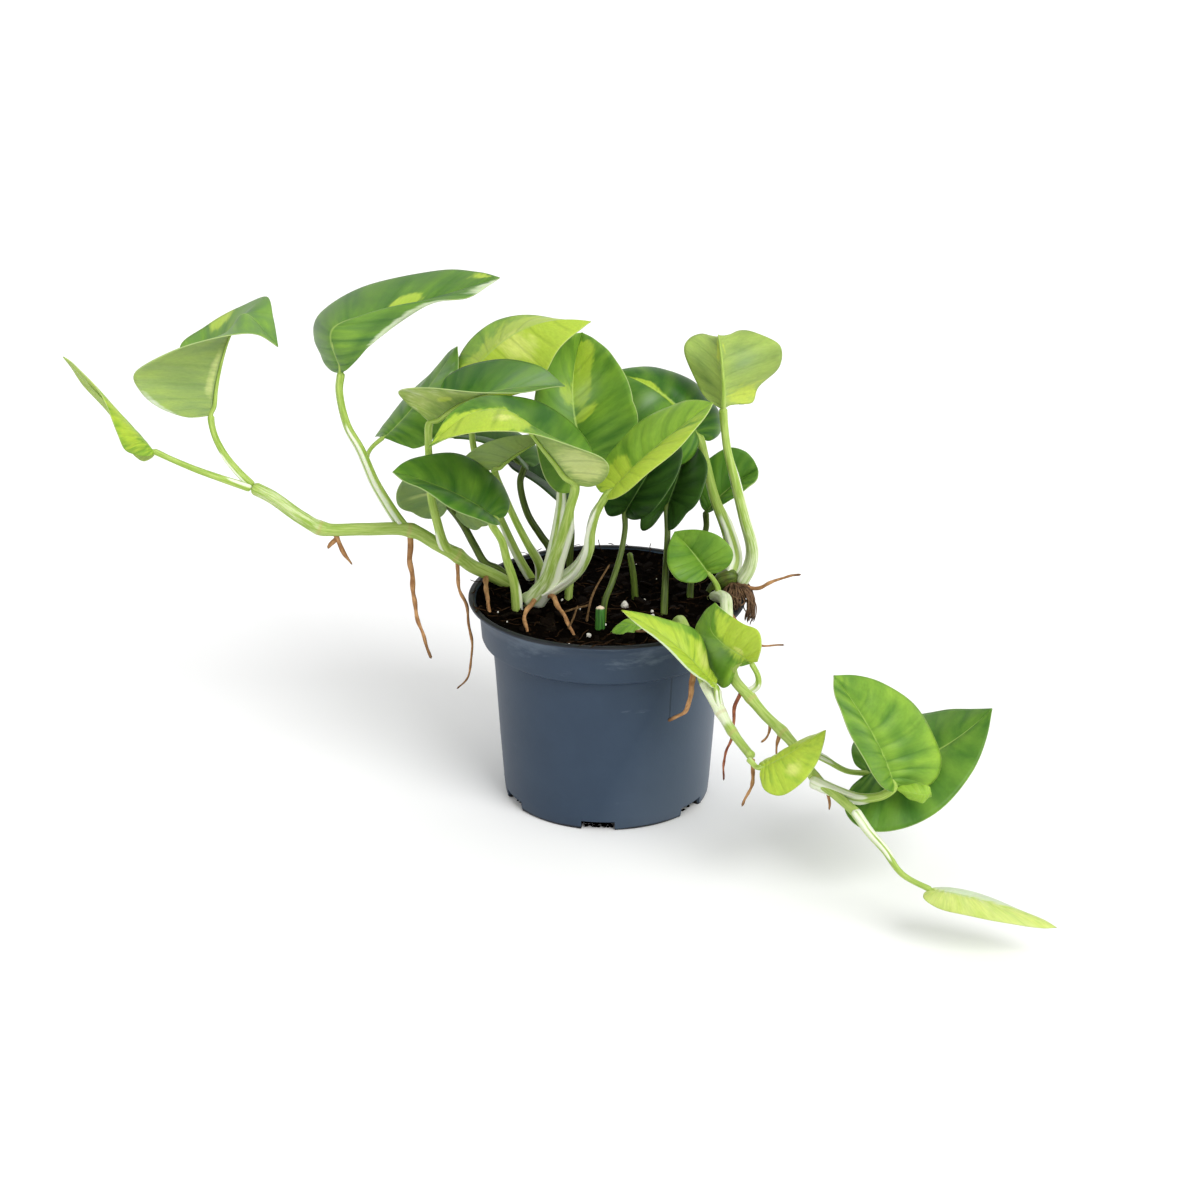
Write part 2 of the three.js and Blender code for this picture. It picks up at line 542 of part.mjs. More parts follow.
// Stems and roots
const grown = {};
for (const [name, { path, radius: [from, to], color }] of Object.entries(STEMS)) {
  piece(name, geometryOf(rod(path, taper(from, to), STEM)), color, 0.5);
  grown[name] = rod(path, taper(from, to, GAP), STEM);
}
for (const [name, { paths, radius, on }] of Object.entries(ROOTS)) {
  const strands = paths.map((path) => rod(path, taper(radius, radius * ROOT.tip), ROOT));
  let root = strands.reduce((all, strand) => all.add(strand));
  for (const other of on) root = root.subtract(grown[other]);
  piece(name, geometryOf(root), 0xa8744a, 0.8);
  grown[name] = paths.map((path) => rod(path, taper(radius, radius * ROOT.tip, GAP), ROOT))
    .reduce((all, strand) => all.add(strand));
}

// Leaves
for (const [name, leaf] of Object.entries(LEAVES)) {
  grown[name] = petiole(leaf, GAP);
}
for (const [name, leaf] of Object.entries(LEAVES)) {
  let grownLeaf = blade(leaf).add(petiole(leaf));
  for (const other of GROWS[name] ?? []) grownLeaf = grownLeaf.subtract(grown[other]);
  piece(name, geometryOf(grownLeaf), leaf.color, 0.45);
}
piece('sprout', geometryOf(blade(SPROUT)), 0x8fc23e, 0.5);

// The pot: a thin turned wall with a collar and a flared rim, and six drain channels in its foot
function channel(height, width, inner, outer) {
  const box = new THREE.BoxGeometry(outer - inner, width, height);
  return box.translate((outer + inner) / 2, 0, height / 2);
}

function around(make) {
  const parts = [];
  for (let i = 0; i < CHANNEL.count; i++) {
    const turn = THREE.MathUtils.degToRad(CHANNEL.turn + (360 * i) / CHANNEL.count);
    parts.push(solid(make().rotateZ(turn)));
  }
  return parts.reduce((all, part) => all.add(part));
}

function potShell() {
  const { rimRadius, height, rimEdge, rimWidth, rimRound } = POT;
  const { flareFoot, flareHeight, flareRadius } = POT;
  const { collarRadius, collarFoot, collarDraft, stepHeight } = POT;
  const { neckRadius, footRadius, footRound, wall, floor, sides } = POT;
  const neck = collarFoot - stepHeight;
  const profile = [
    [0, 0], [footRadius - footRound, 0], [footRadius, footRound], [neckRadius, neck],
    [collarRadius - collarDraft, collarFoot], [collarRadius, flareFoot],
    [flareRadius, flareHeight], [rimRadius, height - rimRound - rimEdge],
    [rimRadius, height - rimRound], [rimRadius - rimRound, height],
    [rimRadius - rimWidth, height], [collarRadius - wall, flareFoot],
    [collarRadius - wall - collarDraft, collarFoot + wall],
    [neckRadius - wall, neck + wall], [footRadius - wall, floor], [0, floor],
  ];
  const lathe = new THREE.LatheGeometry(profile.map(([x, y]) => new THREE.Vector2(x, y)), sides);
  return solid(lathe.rotateX(Math.PI / 2));
}

const house = CHANNEL.height + CHANNEL.wall;
const housing = () => channel(house, CHANNEL.width + 2 * CHANNEL.wall,
  CHANNEL.inner - CHANNEL.wall, POT.footRadius - CHANNEL.wall / 2);
const bore = () => channel(2 * CHANNEL.height, CHANNEL.width, CHANNEL.inner, POT.rimRadius)
  .translate(0, 0, -CHANNEL.height);
const drain = () => new THREE.CylinderGeometry(CHANNEL.hole, CHANNEL.hole, 2 * house, 12)
  .rotateX(Math.PI / 2).translate(CHANNEL.holeAt, 0, house);
const pot = potShell().add(around(housing)).subtract(around(bore)).subtract(around(drain));
piece('pot', geometryOf(pot), 0x475361, 0.5);

// The soil fills the pot round the channels and holds what is rooted in it
function soilPlug() {
  const { wall, floor, collarRadius, collarFoot, collarDraft, neckRadius, footRadius, stepHeight } = POT;
  const inset = wall + GAP;
  const edge = collarRadius - inset - GAP;
  const profile = [
    [0, floor + GAP], [footRadius - inset, floor + GAP],
    [neckRadius - inset, collarFoot - stepHeight + wall],
    [edge - collarDraft, collarFoot + wall + GAP], [edge, SOIL.edge],
    [edge * SOIL.shoulderAt, SOIL.shoulder], [0, SOIL.crown],
  ];
  const lathe = new THREE.LatheGeometry(profile.map(([x, y]) => new THREE.Vector2(x, y)), SOIL.sides);
  return solid(lathe.rotateX(Math.PI / 2));
}

const spacedHousing = () => channel(house + GAP, CHANNEL.width + 2 * (CHANNEL.wall + GAP),
  CHANNEL.inner - CHANNEL.wall - GAP, POT.footRadius);
let soil = soilPlug().subtract(around(spacedHousing));
for (const clear of Object.values(grown)) soil = soil.subtract(clear);
piece('soil', geometryOf(soil), 0x2a1b13, 1);

export default object;
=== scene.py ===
import bpy
import math
import numpy as np
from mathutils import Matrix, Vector, noise


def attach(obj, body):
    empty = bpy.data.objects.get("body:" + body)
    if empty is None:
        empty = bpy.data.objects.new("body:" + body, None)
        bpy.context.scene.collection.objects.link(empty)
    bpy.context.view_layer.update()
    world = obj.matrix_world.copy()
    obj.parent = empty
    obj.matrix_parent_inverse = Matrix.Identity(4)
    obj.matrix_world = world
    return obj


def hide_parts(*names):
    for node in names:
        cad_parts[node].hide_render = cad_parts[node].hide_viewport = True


# A young potted pothos: two trailing vines, heart-shaped leaves and aerial roots, in a plastic pot

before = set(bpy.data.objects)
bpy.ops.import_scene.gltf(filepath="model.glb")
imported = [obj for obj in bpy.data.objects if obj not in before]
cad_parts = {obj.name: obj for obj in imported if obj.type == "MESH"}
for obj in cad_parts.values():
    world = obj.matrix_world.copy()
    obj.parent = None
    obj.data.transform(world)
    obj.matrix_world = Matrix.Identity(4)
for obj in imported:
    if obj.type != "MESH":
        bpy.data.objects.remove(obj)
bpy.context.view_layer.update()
MM = 0.001


# Sizes and places, in millimetres

WIDEST = 0.28                        # how far along a blade its widest points lie
SIDE_VEINS = 9                       # on each side of a blade
BLADE = dict(thickness=0.45, columns=32, rows=60, groove=0.45)
PETIOLE_SIDES = 28
FOOT_IN_STEM = 2.5                   # how far a petiole's foot runs into the stem that carries it
STEM_SIDES = 24
ROOT_SIDES = 12
POT = dict(sides=128, foot=46.4, neck=51.4, collar_foot=75, collar=57, rim=62, height=95, wall=1.6,
           floor=1.8)
CHANNEL = dict(count=6, height=4.3, width=15, inner=22, wall=1.5, turn=-95, hole=3.5, hole_at=33)
# Painted shadow of the root that hangs over the collar: the way that a dark line runs down the
# wall from the collar, in degrees, the height of its foot, and the dark dot below it
ROOT_SHADOW_LINE = dict(turn=-56.6, foot=53.5, dot_of_shadow=(27.3, -41.5, 52.5))
SOIL = dict(edge=58.4, top=91.2, foot=6.4, around=320, rings=66)
# How many chips, sunken grains and fibres lie on the mix, dark crumbs of painted shade in each drain
# channel, and root hairs to each path of the tuft at the rim
LOOSE = dict(bark=170, perlite=16, fibres=140, crumbs=110, hairs=11)
FIBRE_OVER_RIM = 59.8                # how far out the fibres that bend over the rim lie
SEED = dict(bark=5, perlite=11, crumbs=41, fibres=23, twigs=700, hairs=900, sprout=31, lobe=32)
CAMERA = dict(lens=87.09, sensor=36, down=22, away=1300, aim=(-3.1, 0, 92))
ROOM_LIGHT = 0.88
KEY_LIGHT = 2.0
KEY_SPREAD = 35                      # in degrees
KEY_FROM = (0.7, -0.95, 1.05)

# Half of a heart-shaped blade from the petiole to the tip: the place along the midrib and the part
# of the half width
OUTLINE = [(0, 0), (-0.07, 0.24), (-0.05, 0.62), (0.09, 0.92), (WIDEST, 1), (0.53, 0.91), (0.76, 0.62),
           (0.91, 0.29), (1, 0)]
# What a leaf or a patch on it can have more of: three tones, a painted grey sheen, painted shade in
# the vein grooves with painted light on the swells between them, and a papery paleness
MARKS = "deep lime cream waxy grooved papery".split()


# Materials

def linear(code):
    """An sRGB hex colour as linear red, green, blue and alpha"""
    channels = [int(code[i:i + 2], 16) / 255 for i in (1, 3, 5)]
    return [c / 12.92 if c <= 0.04045 else ((c + 0.055) / 1.055) ** 2.4 for c in channels] + [1]


def material(name, **settings):
    """A new material: its node tree and its shader, with the shader's constants set"""
    made = bpy.data.materials.new(name)
    made.use_nodes = True
    shader = made.node_tree.nodes["Principled BSDF"]
    for socket, value in settings.items():
        shader.inputs[socket.replace("_", " ")].default_value = value
    return made, made.node_tree, shader


def add(tree, kind, inputs=None, output=0, **settings):
    """A node with its settings, and its inputs as values or as the sockets that feed them: one of its
    outputs, or all of them"""
    node = tree.nodes.new("ShaderNode" + kind)
    for setting, value in settings.items():
        setattr(node, setting, value)
    for place, value in (inputs or {}).items():
        if isinstance(value, bpy.types.NodeSocket):
            tree.links.new(value, node.inputs[place])
        else:
            node.inputs[place].default_value = value
    return node.outputs if output is None else node.outputs[output]


def leaf_skin(name, colours, roughness, relief):
    """Living leaf tissue: soft bands and variegated patches that run out along the side veins, a painted
    grey sheen in the bands, painted shade in the vein grooves and painted light on the swells between
    them, a pale midrib and margin, and a fine pillowing between the veins"""
    green, deep, fresh, lime, cream, papery, vein, margin = [linear(colour) for colour in colours]
    made, tree, shader = material(name, IOR=1.42, Specular_IOR_Level=0.25, Subsurface_Weight=0.1,
                                  Subsurface_Scale=0.0015)
    shader.inputs["Subsurface Radius"].default_value = (0.5, 1.0, 0.2)
    tone = add(tree, "Attribute", output="Vector", attribute_name="tone")
    finish = add(tree, "Attribute", output="Vector", attribute_name="finish")
    place = add(tree, "Attribute", output="Vector", attribute_name="blade")
    grain = add(tree, "Attribute", output="Vector", attribute_name="grain")
    how_deep, how_lime, how_cream = add(tree, "SeparateXYZ", {0: tone}, output=None)
    how_sheened, how_groove_shaded, how_papery = add(tree, "SeparateXYZ", {0: finish}, output=None)
    across, _, phase = add(tree, "SeparateXYZ", {0: place}, output=None)
    # soft bands 4 mm wide along the veins, streaks 2 mm wide that break the edges of the patches, and
    # a fine mottle
    wide_way = add(tree, "VectorMath", {0: grain, 1: (0.05, 0.26, 1)}, operation="MULTIPLY")
    bands = add(tree, "TexNoise", {"Vector": wide_way, "Scale": 1.0, "Detail": 1.5, "Roughness": 0.5})
    along_veins = add(tree, "VectorMath", {0: grain, 1: (0.12, 0.45, 1)}, operation="MULTIPLY")
    streaks = add(tree, "TexNoise", {"Vector": along_veins, "Scale": 1.0, "Detail": 2.5, "Roughness": 0.5})
    fine_way = add(tree, "VectorMath", {0: grain, 1: (0.35, 1.6, 1)}, operation="MULTIPLY")
    fine = add(tree, "TexNoise", {"Vector": fine_way, "Scale": 1.0, "Detail": 3.0, "Roughness": 0.6})
    banded = add(tree, "Math", {0: bands, 1: 2.0, 2: -1.0}, operation="MULTIPLY_ADD")
    depth = add(tree, "Math", {0: how_deep, 1: banded}, operation="ADD")
    darker = add(tree, "MapRange", {"Value": depth})
    lighter = add(tree, "MapRange", {"Value": depth, "From Max": -1.0})
    colour = add(tree, "Mix", {0: darker, 6: green, 7: deep}, output=2, data_type="RGBA")
    colour = add(tree, "Mix", {0: lighter, 6: colour, 7: fresh}, output=2, data_type="RGBA")
    spread = add(tree, "Math", {0: streaks, 1: 0.8, 2: -0.4}, operation="MULTIPLY_ADD")
    for part, patch, soft in ((how_lime, lime, 0.16), (how_cream, cream, 0.28), (how_papery, papery, 0.25)):
        reach = add(tree, "Math", {0: part, 1: spread}, operation="ADD")
        mask = add(tree, "MapRange", {"Value": reach, "From Min": 0.5 - soft, "From Max": 0.5 + soft},
                   interpolation_type="SMOOTHSTEP")
        colour = add(tree, "Mix", {0: mask, 6: colour, 7: patch}, output=2, data_type="RGBA")
    shade = add(tree, "Math", {0: fine, 1: 1.2, 2: 0.4}, operation="MULTIPLY_ADD")
    colour = add(tree, "Mix", {0: 0.4, 6: colour, 7: shade}, output=2, data_type="RGBA",
                 blend_type="MULTIPLY")
    # painted sheen: the soft bands are mixed towards a pale grey-green
    waxy = add(tree, "Math", {0: how_sheened, 1: bands}, operation="MULTIPLY")
    colour = add(tree, "Mix", {0: waxy, 6: colour, 7: linear("#a8bd9c")}, output=2, data_type="RGBA")
    # side veins where the phase is a whole number, and the midrib where the place across is nought
    from_vein = add(tree, "Math", {0: phase, 1: 0.5}, operation="PINGPONG")
    # painted light on the swells between the side veins and painted shade in their grooves, as strong as the
    # grooved mark
    painted_ridge_light = add(tree, "MapRange", {"Value": from_vein, "From Min": 0.12, "From Max": 0.5,
                                      "To Max": 0.55}, interpolation_type="SMOOTHSTEP")
    painted_ridge_light = add(tree, "Math", {0: painted_ridge_light, 1: how_groove_shaded}, operation="MULTIPLY")
    painted_groove_shade = add(tree, "MapRange", {"Value": from_vein, "From Min": 0.0, "From Max": 0.13,
                                       "To Min": 1.0, "To Max": 0.0}, interpolation_type="SMOOTHSTEP")
    painted_groove_shade = add(tree, "Math", {0: painted_groove_shade, 1: how_groove_shaded}, operation="MULTIPLY")
    across = add(tree, "Math", {0: across}, operation="ABSOLUTE")
    inner = add(tree, "MapRange", {"Value": across, "From Min": 0.7, "From Max": 1.0,
                                   "To Min": 1.0, "To Max": 0.0})
    painted_groove_shade = add(tree, "Math", {0: painted_groove_shade, 1: inner}, operation="MULTIPLY")
    midrib = add(tree, "MapRange", {"Value": across, "From Min": 0.012, "From Max": 0.032,
                                    "To Min": 0.6, "To Max": 0.0}, interpolation_type="SMOOTHSTEP")
    edge = add(tree, "MapRange", {"Value": across, "From Min": 0.985, "From Max": 1.0,
                                  "To Min": 0.0, "To Max": 0.35}, interpolation_type="SMOOTHSTEP")
    for mask, over in ((painted_ridge_light, fresh), (painted_groove_shade, deep), (midrib, vein), (edge, margin)):
        colour = add(tree, "Mix", {0: mask, 6: colour, 7: over}, output=2, data_type="RGBA")
    tree.links.new(colour, shader.inputs["Base Color"])
    gloss = add(tree, "MapRange", {"Value": fine, "To Min": roughness - 0.07, "To Max": roughness + 0.07})
    tree.links.new(gloss, shader.inputs["Roughness"])
    pillow = add(tree, "Math", {0: from_vein, 1: 0.5}, operation="POWER")
    height = add(tree, "Math", {0: fine, 1: 0.25, 2: pillow}, operation="MULTIPLY_ADD")
    bump = add(tree, "Bump", {"Height": height, "Strength": relief, "Distance": 0.0004})
    tree.links.new(bump, shader.inputs["Normal"])
    return made


def living_stem(name, colours, roughness):
    """Green stem and petiole skin: smooth and waxy, streaked lengthwise, paler on the papery wings of
    the sheath and at the rings of the nodes"""
    green, light, sheath, ring = [linear(colour) for colour in colours]
    made, tree, shader = material(name, IOR=1.42, Specular_IOR_Level=0.3, Subsurface_Weight=0.15,
                                  Subsurface_Scale=0.002)
    shader.inputs["Subsurface Radius"].default_value = (0.6, 1.0, 0.3)
    skin = add(tree, "Attribute", output="Vector", attribute_name="skin")
    marks = add(tree, "Attribute", output="Vector", attribute_name="marks")
    pale, scar, _ = add(tree, "SeparateXYZ", {0: marks}, output=None)
    lengthwise = add(tree, "VectorMath", {0: skin, 1: (1.1, 1.1, 0.09)}, operation="MULTIPLY")
    streaks = add(tree, "TexNoise", {"Vector": lengthwise, "Scale": 1.0, "Detail": 4.0, "Roughness": 0.6})
    tint = add(tree, "MapRange", {"Value": streaks, "From Min": 0.35, "From Max": 0.65},
               interpolation_type="SMOOTHSTEP")
    colour = add(tree, "Mix", {0: tint, 6: green, 7: light}, output=2, data_type="RGBA")
    spread = add(tree, "Math", {0: streaks, 1: 0.9, 2: -0.45}, operation="MULTIPLY_ADD")
    papery = add(tree, "Math", {0: pale, 1: spread}, operation="ADD")
    papery = add(tree, "MapRange", {"Value": papery, "From Min": 0.2, "From Max": 0.8},
                 interpolation_type="SMOOTHSTEP")
    for mask, over in ((papery, sheath), (scar, ring)):
        colour = add(tree, "Mix", {0: mask, 6: colour, 7: over}, output=2, data_type="RGBA")
    tree.links.new(colour, shader.inputs["Base Color"])
    gloss = add(tree, "MapRange", {"Value": papery, "To Min": roughness, "To Max": roughness + 0.2})
    tree.links.new(gloss, shader.inputs["Roughness"])
    bump = add(tree, "Bump", {"Height": streaks, "Strength": 0.35, "Distance": 0.0004})
    tree.links.new(bump, shader.inputs["Normal"])
    return made


def corky_root(name, colours):
    """Aerial root and old stem: dry fibrous cork, wrinkled lengthwise, darker towards the tip"""
    tan, brown, dark = [linear(colour) for colour in colours]
    made, tree, shader = material(name, IOR=1.4, Roughness=0.75, Specular_IOR_Level=0.25)
    skin = add(tree, "Attribute", output="Vector", attribute_name="skin")
    marks = add(tree, "Attribute", output="Vector", attribute_name="marks")
    _, tip, _ = add(tree, "SeparateXYZ", {0: marks}, output=None)
    lengthwise = add(tree, "VectorMath", {0: skin, 1: (1.6, 1.6, 0.3)}, operation="MULTIPLY")
    fibres = add(tree, "TexNoise", {"Vector": lengthwise, "Scale": 1.0, "Detail": 5.0, "Roughness": 0.7})
    blotches = add(tree, "TexNoise", {"Vector": skin, "Scale": 0.22, "Detail": 2.0})
    tint = add(tree, "Math", {0: fibres, 1: blotches}, operation="ADD")
    tint = add(tree, "MapRange", {"Value": tint, "From Min": 0.8, "From Max": 1.2},
               interpolation_type="SMOOTHSTEP")
    colour = add(tree, "Mix", {0: tint, 6: brown, 7: tan}, output=2, data_type="RGBA")
    colour = add(tree, "Mix", {0: tip, 6: colour, 7: dark}, output=2, data_type="RGBA")
    tree.links.new(colour, shader.inputs["Base Color"])
    bump = add(tree, "Bump", {"Height": fibres, "Strength": 0.8, "Distance": 0.0005})
    tree.links.new(bump, shader.inputs["Normal"])
    return made


def peat_mix():
    """Moist peat: near black, matt, crumbled into clumps with brown fibre between them"""
    made, tree, shader = material("moist_peat", IOR=1.35, Roughness=0.95, Specular_IOR_Level=0.02)
    where = add(tree, "TexCoord", output="Object")
    crumbs = add(tree, "TexNoise", {"Vector": where, "Scale": 420.0, "Detail": 6.0, "Roughness": 0.7})
    flecks = add(tree, "TexVoronoi", {"Vector": where, "Scale": 700.0}, output="Color")
    fleck = add(tree, "MapRange", {"Value": flecks, "From Min": 0.78, "From Max": 0.98})
    colour = add(tree, "MapRange", {"Value": crumbs, "From Min": 0.35, "From Max": 0.7})
    colour = add(tree, "Mix", {0: colour, 6: linear("#020101"), 7: linear("#0d0804")}, output=2,
                 data_type="RGBA")
    colour = add(tree, "Mix", {0: fleck, 6: colour, 7: linear("#291c11")}, output=2, data_type="RGBA")
    tree.links.new(colour, shader.inputs["Base Color"])
    bump = add(tree, "Bump", {"Height": crumbs, "Strength": 1.0, "Distance": 0.0012})
    tree.links.new(bump, shader.inputs["Normal"])
    return made


def crumb(name, dark, light, roughness, grain_mm):
    """Loose matter in the mix, such as bark, coir and perlite, each grain a little different"""
    made, tree, shader = material(name, IOR=1.4, Roughness=roughness, Specular_IOR_Level=0.04)
    where = add(tree, "TexCoord", output="Object")
    mottle = add(tree, "TexNoise", {"Vector": where, "Scale": 1000 / grain_mm, "Detail": 4.0,
                                    "Roughness": 0.7})
    tint = add(tree, "MapRange", {"Value": mottle, "From Min": 0.3, "From Max": 0.7})
    colour = add(tree, "Mix", {0: tint, 6: linear(dark), 7: linear(light)}, output=2, data_type="RGBA")
    tree.links.new(colour, shader.inputs["Base Color"])
    bump = add(tree, "Bump", {"Height": mottle, "Strength": 0.7, "Distance": 0.0005})
    tree.links.new(bump, shader.inputs["Normal"])
    return made


def moulded_plastic():
    """Injection-moulded recycled polypropylene: slate blue, satin and faintly mottled, with painted light
    on the right of the wall, dust on the collar, a painted shadow of the hanging root as a dark line with
    a dark dot below it, a painted contact shadow round the foot, peat on the lip, the inner wall above
    the soil darkened to peat colour, and painted shade in the drain channels"""
    made, tree, shader = material("moulded_polypropylene", IOR=1.49, Specular_IOR_Level=0.25)
    where = add(tree, "TexCoord", output="Object")
    east, north, height = add(tree, "SeparateXYZ", {0: where}, output=None)
    mottle = add(tree, "TexNoise", {"Vector": where, "Scale": 60.0, "Detail": 5.0, "Roughness": 0.6})
    colour = add(tree, "Mix", {0: mottle, 6: linear("#2a394b"), 7: linear("#334356")}, output=2,
                 data_type="RGBA")
    stretched = add(tree, "VectorMath", {0: where, 1: (1, 1, 3)}, operation="MULTIPLY")
    film = add(tree, "TexNoise", {"Vector": stretched, "Scale": 38.0, "Detail": 6.0, "Roughness": 0.65})
    collar = add(tree, "MapRange", {"Value": height, "From Min": 0.07, "From Max": 0.092,
                                    "To Min": -0.12, "To Max": 0.07})
    dust = add(tree, "Math", {0: film, 1: collar}, operation="ADD")
    dust = add(tree, "MapRange", {"Value": dust, "From Min": 0.52, "From Max": 0.72, "To Max": 0.34},
               interpolation_type="SMOOTHSTEP")
    # painted light: the wall is lighter towards the right, the more so low down
    painted_light_right = add(tree, "Math", {0: height, 1: -0.5, 2: east}, operation="MULTIPLY_ADD")
    painted_light_right = add(tree, "MapRange", {"Value": painted_light_right, "From Min": -0.01, "From Max": 0.04, "To Max": 0.3})
    # painted shadow of the hanging root: a dark line 21 mm down the wall from the collar, a dot at its end
    turn = add(tree, "Math", {0: north, 1: east}, operation="ARCTAN2")
    off_root_shadow = add(tree, "Math", {0: turn, 1: math.radians(ROOT_SHADOW_LINE["turn"])}, operation="SUBTRACT")
    off_root_shadow = add(tree, "Math", {0: off_root_shadow}, operation="ABSOLUTE")
    on_root_shadow = add(tree, "MapRange", {"Value": off_root_shadow, "From Min": 0.004, "From Max": 0.012,
                                     "To Min": 0.55, "To Max": 0.0})
    above_dot_shadow = add(tree, "Math", {0: height, 1: ROOT_SHADOW_LINE["foot"] * MM}, operation="GREATER_THAN")
    on_root_shadow = add(tree, "Math", {0: on_root_shadow, 1: above_dot_shadow}, operation="MULTIPLY")
    below_collar = add(tree, "Math", {0: height, 1: (POT["collar_foot"] - 0.2) * MM}, operation="LESS_THAN")
    on_root_shadow = add(tree, "Math", {0: on_root_shadow, 1: below_collar}, operation="MULTIPLY")
    dot_of_shadow = [along * MM for along in ROOT_SHADOW_LINE["dot_of_shadow"]]
    off_dot_shadow = add(tree, "VectorMath", {0: where, 1: dot_of_shadow}, operation="DISTANCE", output="Value")
    on_dot_shadow = add(tree, "MapRange", {"Value": off_dot_shadow, "From Min": 0.0006, "From Max": 0.0012,
                                    "To Min": 0.8, "To Max": 0.0})
    outward = add(tree, "CombineXYZ", {0: east, 1: north})
    outward = add(tree, "VectorMath", {0: outward}, operation="LENGTH", output="Value")
    smeared = add(tree, "Math", {0: film, 1: 0.0012, 2: -0.0006}, operation="MULTIPLY_ADD")
    outward = add(tree, "Math", {0: outward, 1: smeared}, operation="ADD")
    smeared_height = add(tree, "Math", {0: film, 1: 0.003, 2: height}, operation="MULTIPLY_ADD")
    peat_and_shade = add(tree, "MapRange", {"Value": smeared_height, "From Min": 0.0952, "From Max": 0.0959,
                                   "To Max": 0.85})
    # painted contact shadow: the bottom 3 mm of the wall is darkened
    foot_contact_shadow = add(tree, "MapRange", {"Value": smeared_height, "From Min": 0.0022, "From Max": 0.003,
                                        "To Min": 0.85, "To Max": 0.0})
    # the inner wall above the soil is darkened to peat colour
    inner_wall = add(tree, "Math", {0: outward, 1: (SOIL["edge"] + 0.2) * MM}, operation="LESS_THAN")
    above_peat = add(tree, "Math", {0: height, 1: (SOIL["top"] - 0.2) * MM}, operation="GREATER_THAN")
    inner_wall = add(tree, "Math", {0: inner_wall, 1: above_peat}, operation="MULTIPLY")
    peat_and_shade = add(tree, "Math", {0: peat_and_shade, 1: inner_wall}, operation="MAXIMUM")
    peat_and_shade = add(tree, "Math", {0: peat_and_shade, 1: foot_contact_shadow}, operation="MAXIMUM")
    # painted shade in the drain channels: the plastic below 6 mm and inside the outer wall is darkened
    behind_wall = add(tree, "Math", {0: outward, 1: (POT["foot"] - 1.2) * MM}, operation="LESS_THAN")
    channel_interior_shade = add(tree, "Math", {0: height, 1: 0.006}, operation="LESS_THAN")
    channel_interior_shade = add(tree, "Math", {0: channel_interior_shade, 1: behind_wall}, operation="MULTIPLY")
    peat_and_shade = add(tree, "Math", {0: peat_and_shade, 1: channel_interior_shade}, operation="MAXIMUM")
    # the one dark peat colour paints peat on the lip, the inner wall above the soil, and painted shade at
    # the foot and in the drain channels
    for mask, over in ((dust, "#7d8a97"), (painted_light_right, "#7d8a97"), (on_root_shadow, "#1c2631"), (on_dot_shadow, "#14191f"),
                       (peat_and_shade, "#120d08")):
        colour = add(tree, "Mix", {0: mask, 6: colour, 7: linear(over)}, output=2, data_type="RGBA")
    tree.links.new(colour, shader.inputs["Base Color"])
    gloss = add(tree, "MapRange", {"Value": dust, "From Max": 0.34, "To Min": 0.42, "To Max": 0.6})
    tree.links.new(gloss, shader.inputs["Roughness"])
    texture = add(tree, "TexNoise", {"Vector": where, "Scale": 900.0, "Detail": 2.0})
    bump = add(tree, "Bump", {"Height": texture, "Strength": 0.12, "Distance": 0.0003})
    tree.links.new(bump, shader.inputs["Normal"])
    return made


def pale_floor():
    """A white matt studio floor with a trace of paper tooth"""
    made, tree, shader = material("white_paper_floor", Roughness=0.9)
    shader.inputs["Specular IOR Level"].default_value = 0.0
    where = add(tree, "TexCoord", output="Object")
    tooth = add(tree, "TexNoise", {"Vector": where, "Scale": 6.0, "Detail": 3.0})
    colour = add(tree, "Mix", {0: tooth, 6: linear("#f4f4f4"), 7: linear("#f7f7f7")}, output=2,
                 data_type="RGBA")
    tree.links.new(colour, shader.inputs["Base Color"])
    return made


# Each skin: green, deep, fresh, lime, cream, papery, vein and margin
UPPER = leaf_skin("waxy_leaf_upper_side", ("#5e882b", "#31601a", "#8cb13a", "#a9c03f", "#c9d36e",
                                           "#c3cfae", "#a3bf62", "#b4c97a"), 0.42, 0.5)
UNDER = leaf_skin("matt_leaf_underside", ("#8aa152", "#627f3e", "#a0b758", "#b0c04e", "#c8d182",
                                          "#cbd6b8", "#b7cb8c", "#c3d19a"), 0.5, 0.6)
# The oldest leaves, deep in the shade of the others: darker skins, partly their own deeper green and
# partly painted shade
OLD_SHADED_UPPER = leaf_skin("old_shaded_leaf_upper_side", ("#37591e", "#1d3b12", "#4f7826", "#6f8a2e", "#8a9a50",
                                              "#97a882", "#688844", "#5c7c38"), 0.45, 0.5)
OLD_SHADED_UNDER = leaf_skin("old_shaded_leaf_underside", ("#435f2c", "#2c461e", "#5c7a36", "#7d9040", "#92a05e",
                                             "#9fae88", "#76945a", "#6f8a50"), 0.5, 0.6)
# Each stem: green, light, sheath and the ring of a node
PETIOLE = living_stem("waxy_petiole_skin", ("#8ba943", "#adc365", "#e2e8cf", "#cfc79a"), 0.4)
DARK_PETIOLE = living_stem("shaded_petiole_skin", ("#3c4a1c", "#5d7029", "#8a9560", "#4f4028"), 0.45)
VINE = living_stem("waxy_vine_skin", ("#8fac49", "#b0c46d", "#dde4c4", "#b9a06a"), 0.4)
CUT_STEM = living_stem("cut_stem_skin", ("#234818", "#3d7429", "#d9c3ae", "#8a6a4a"), 0.4)
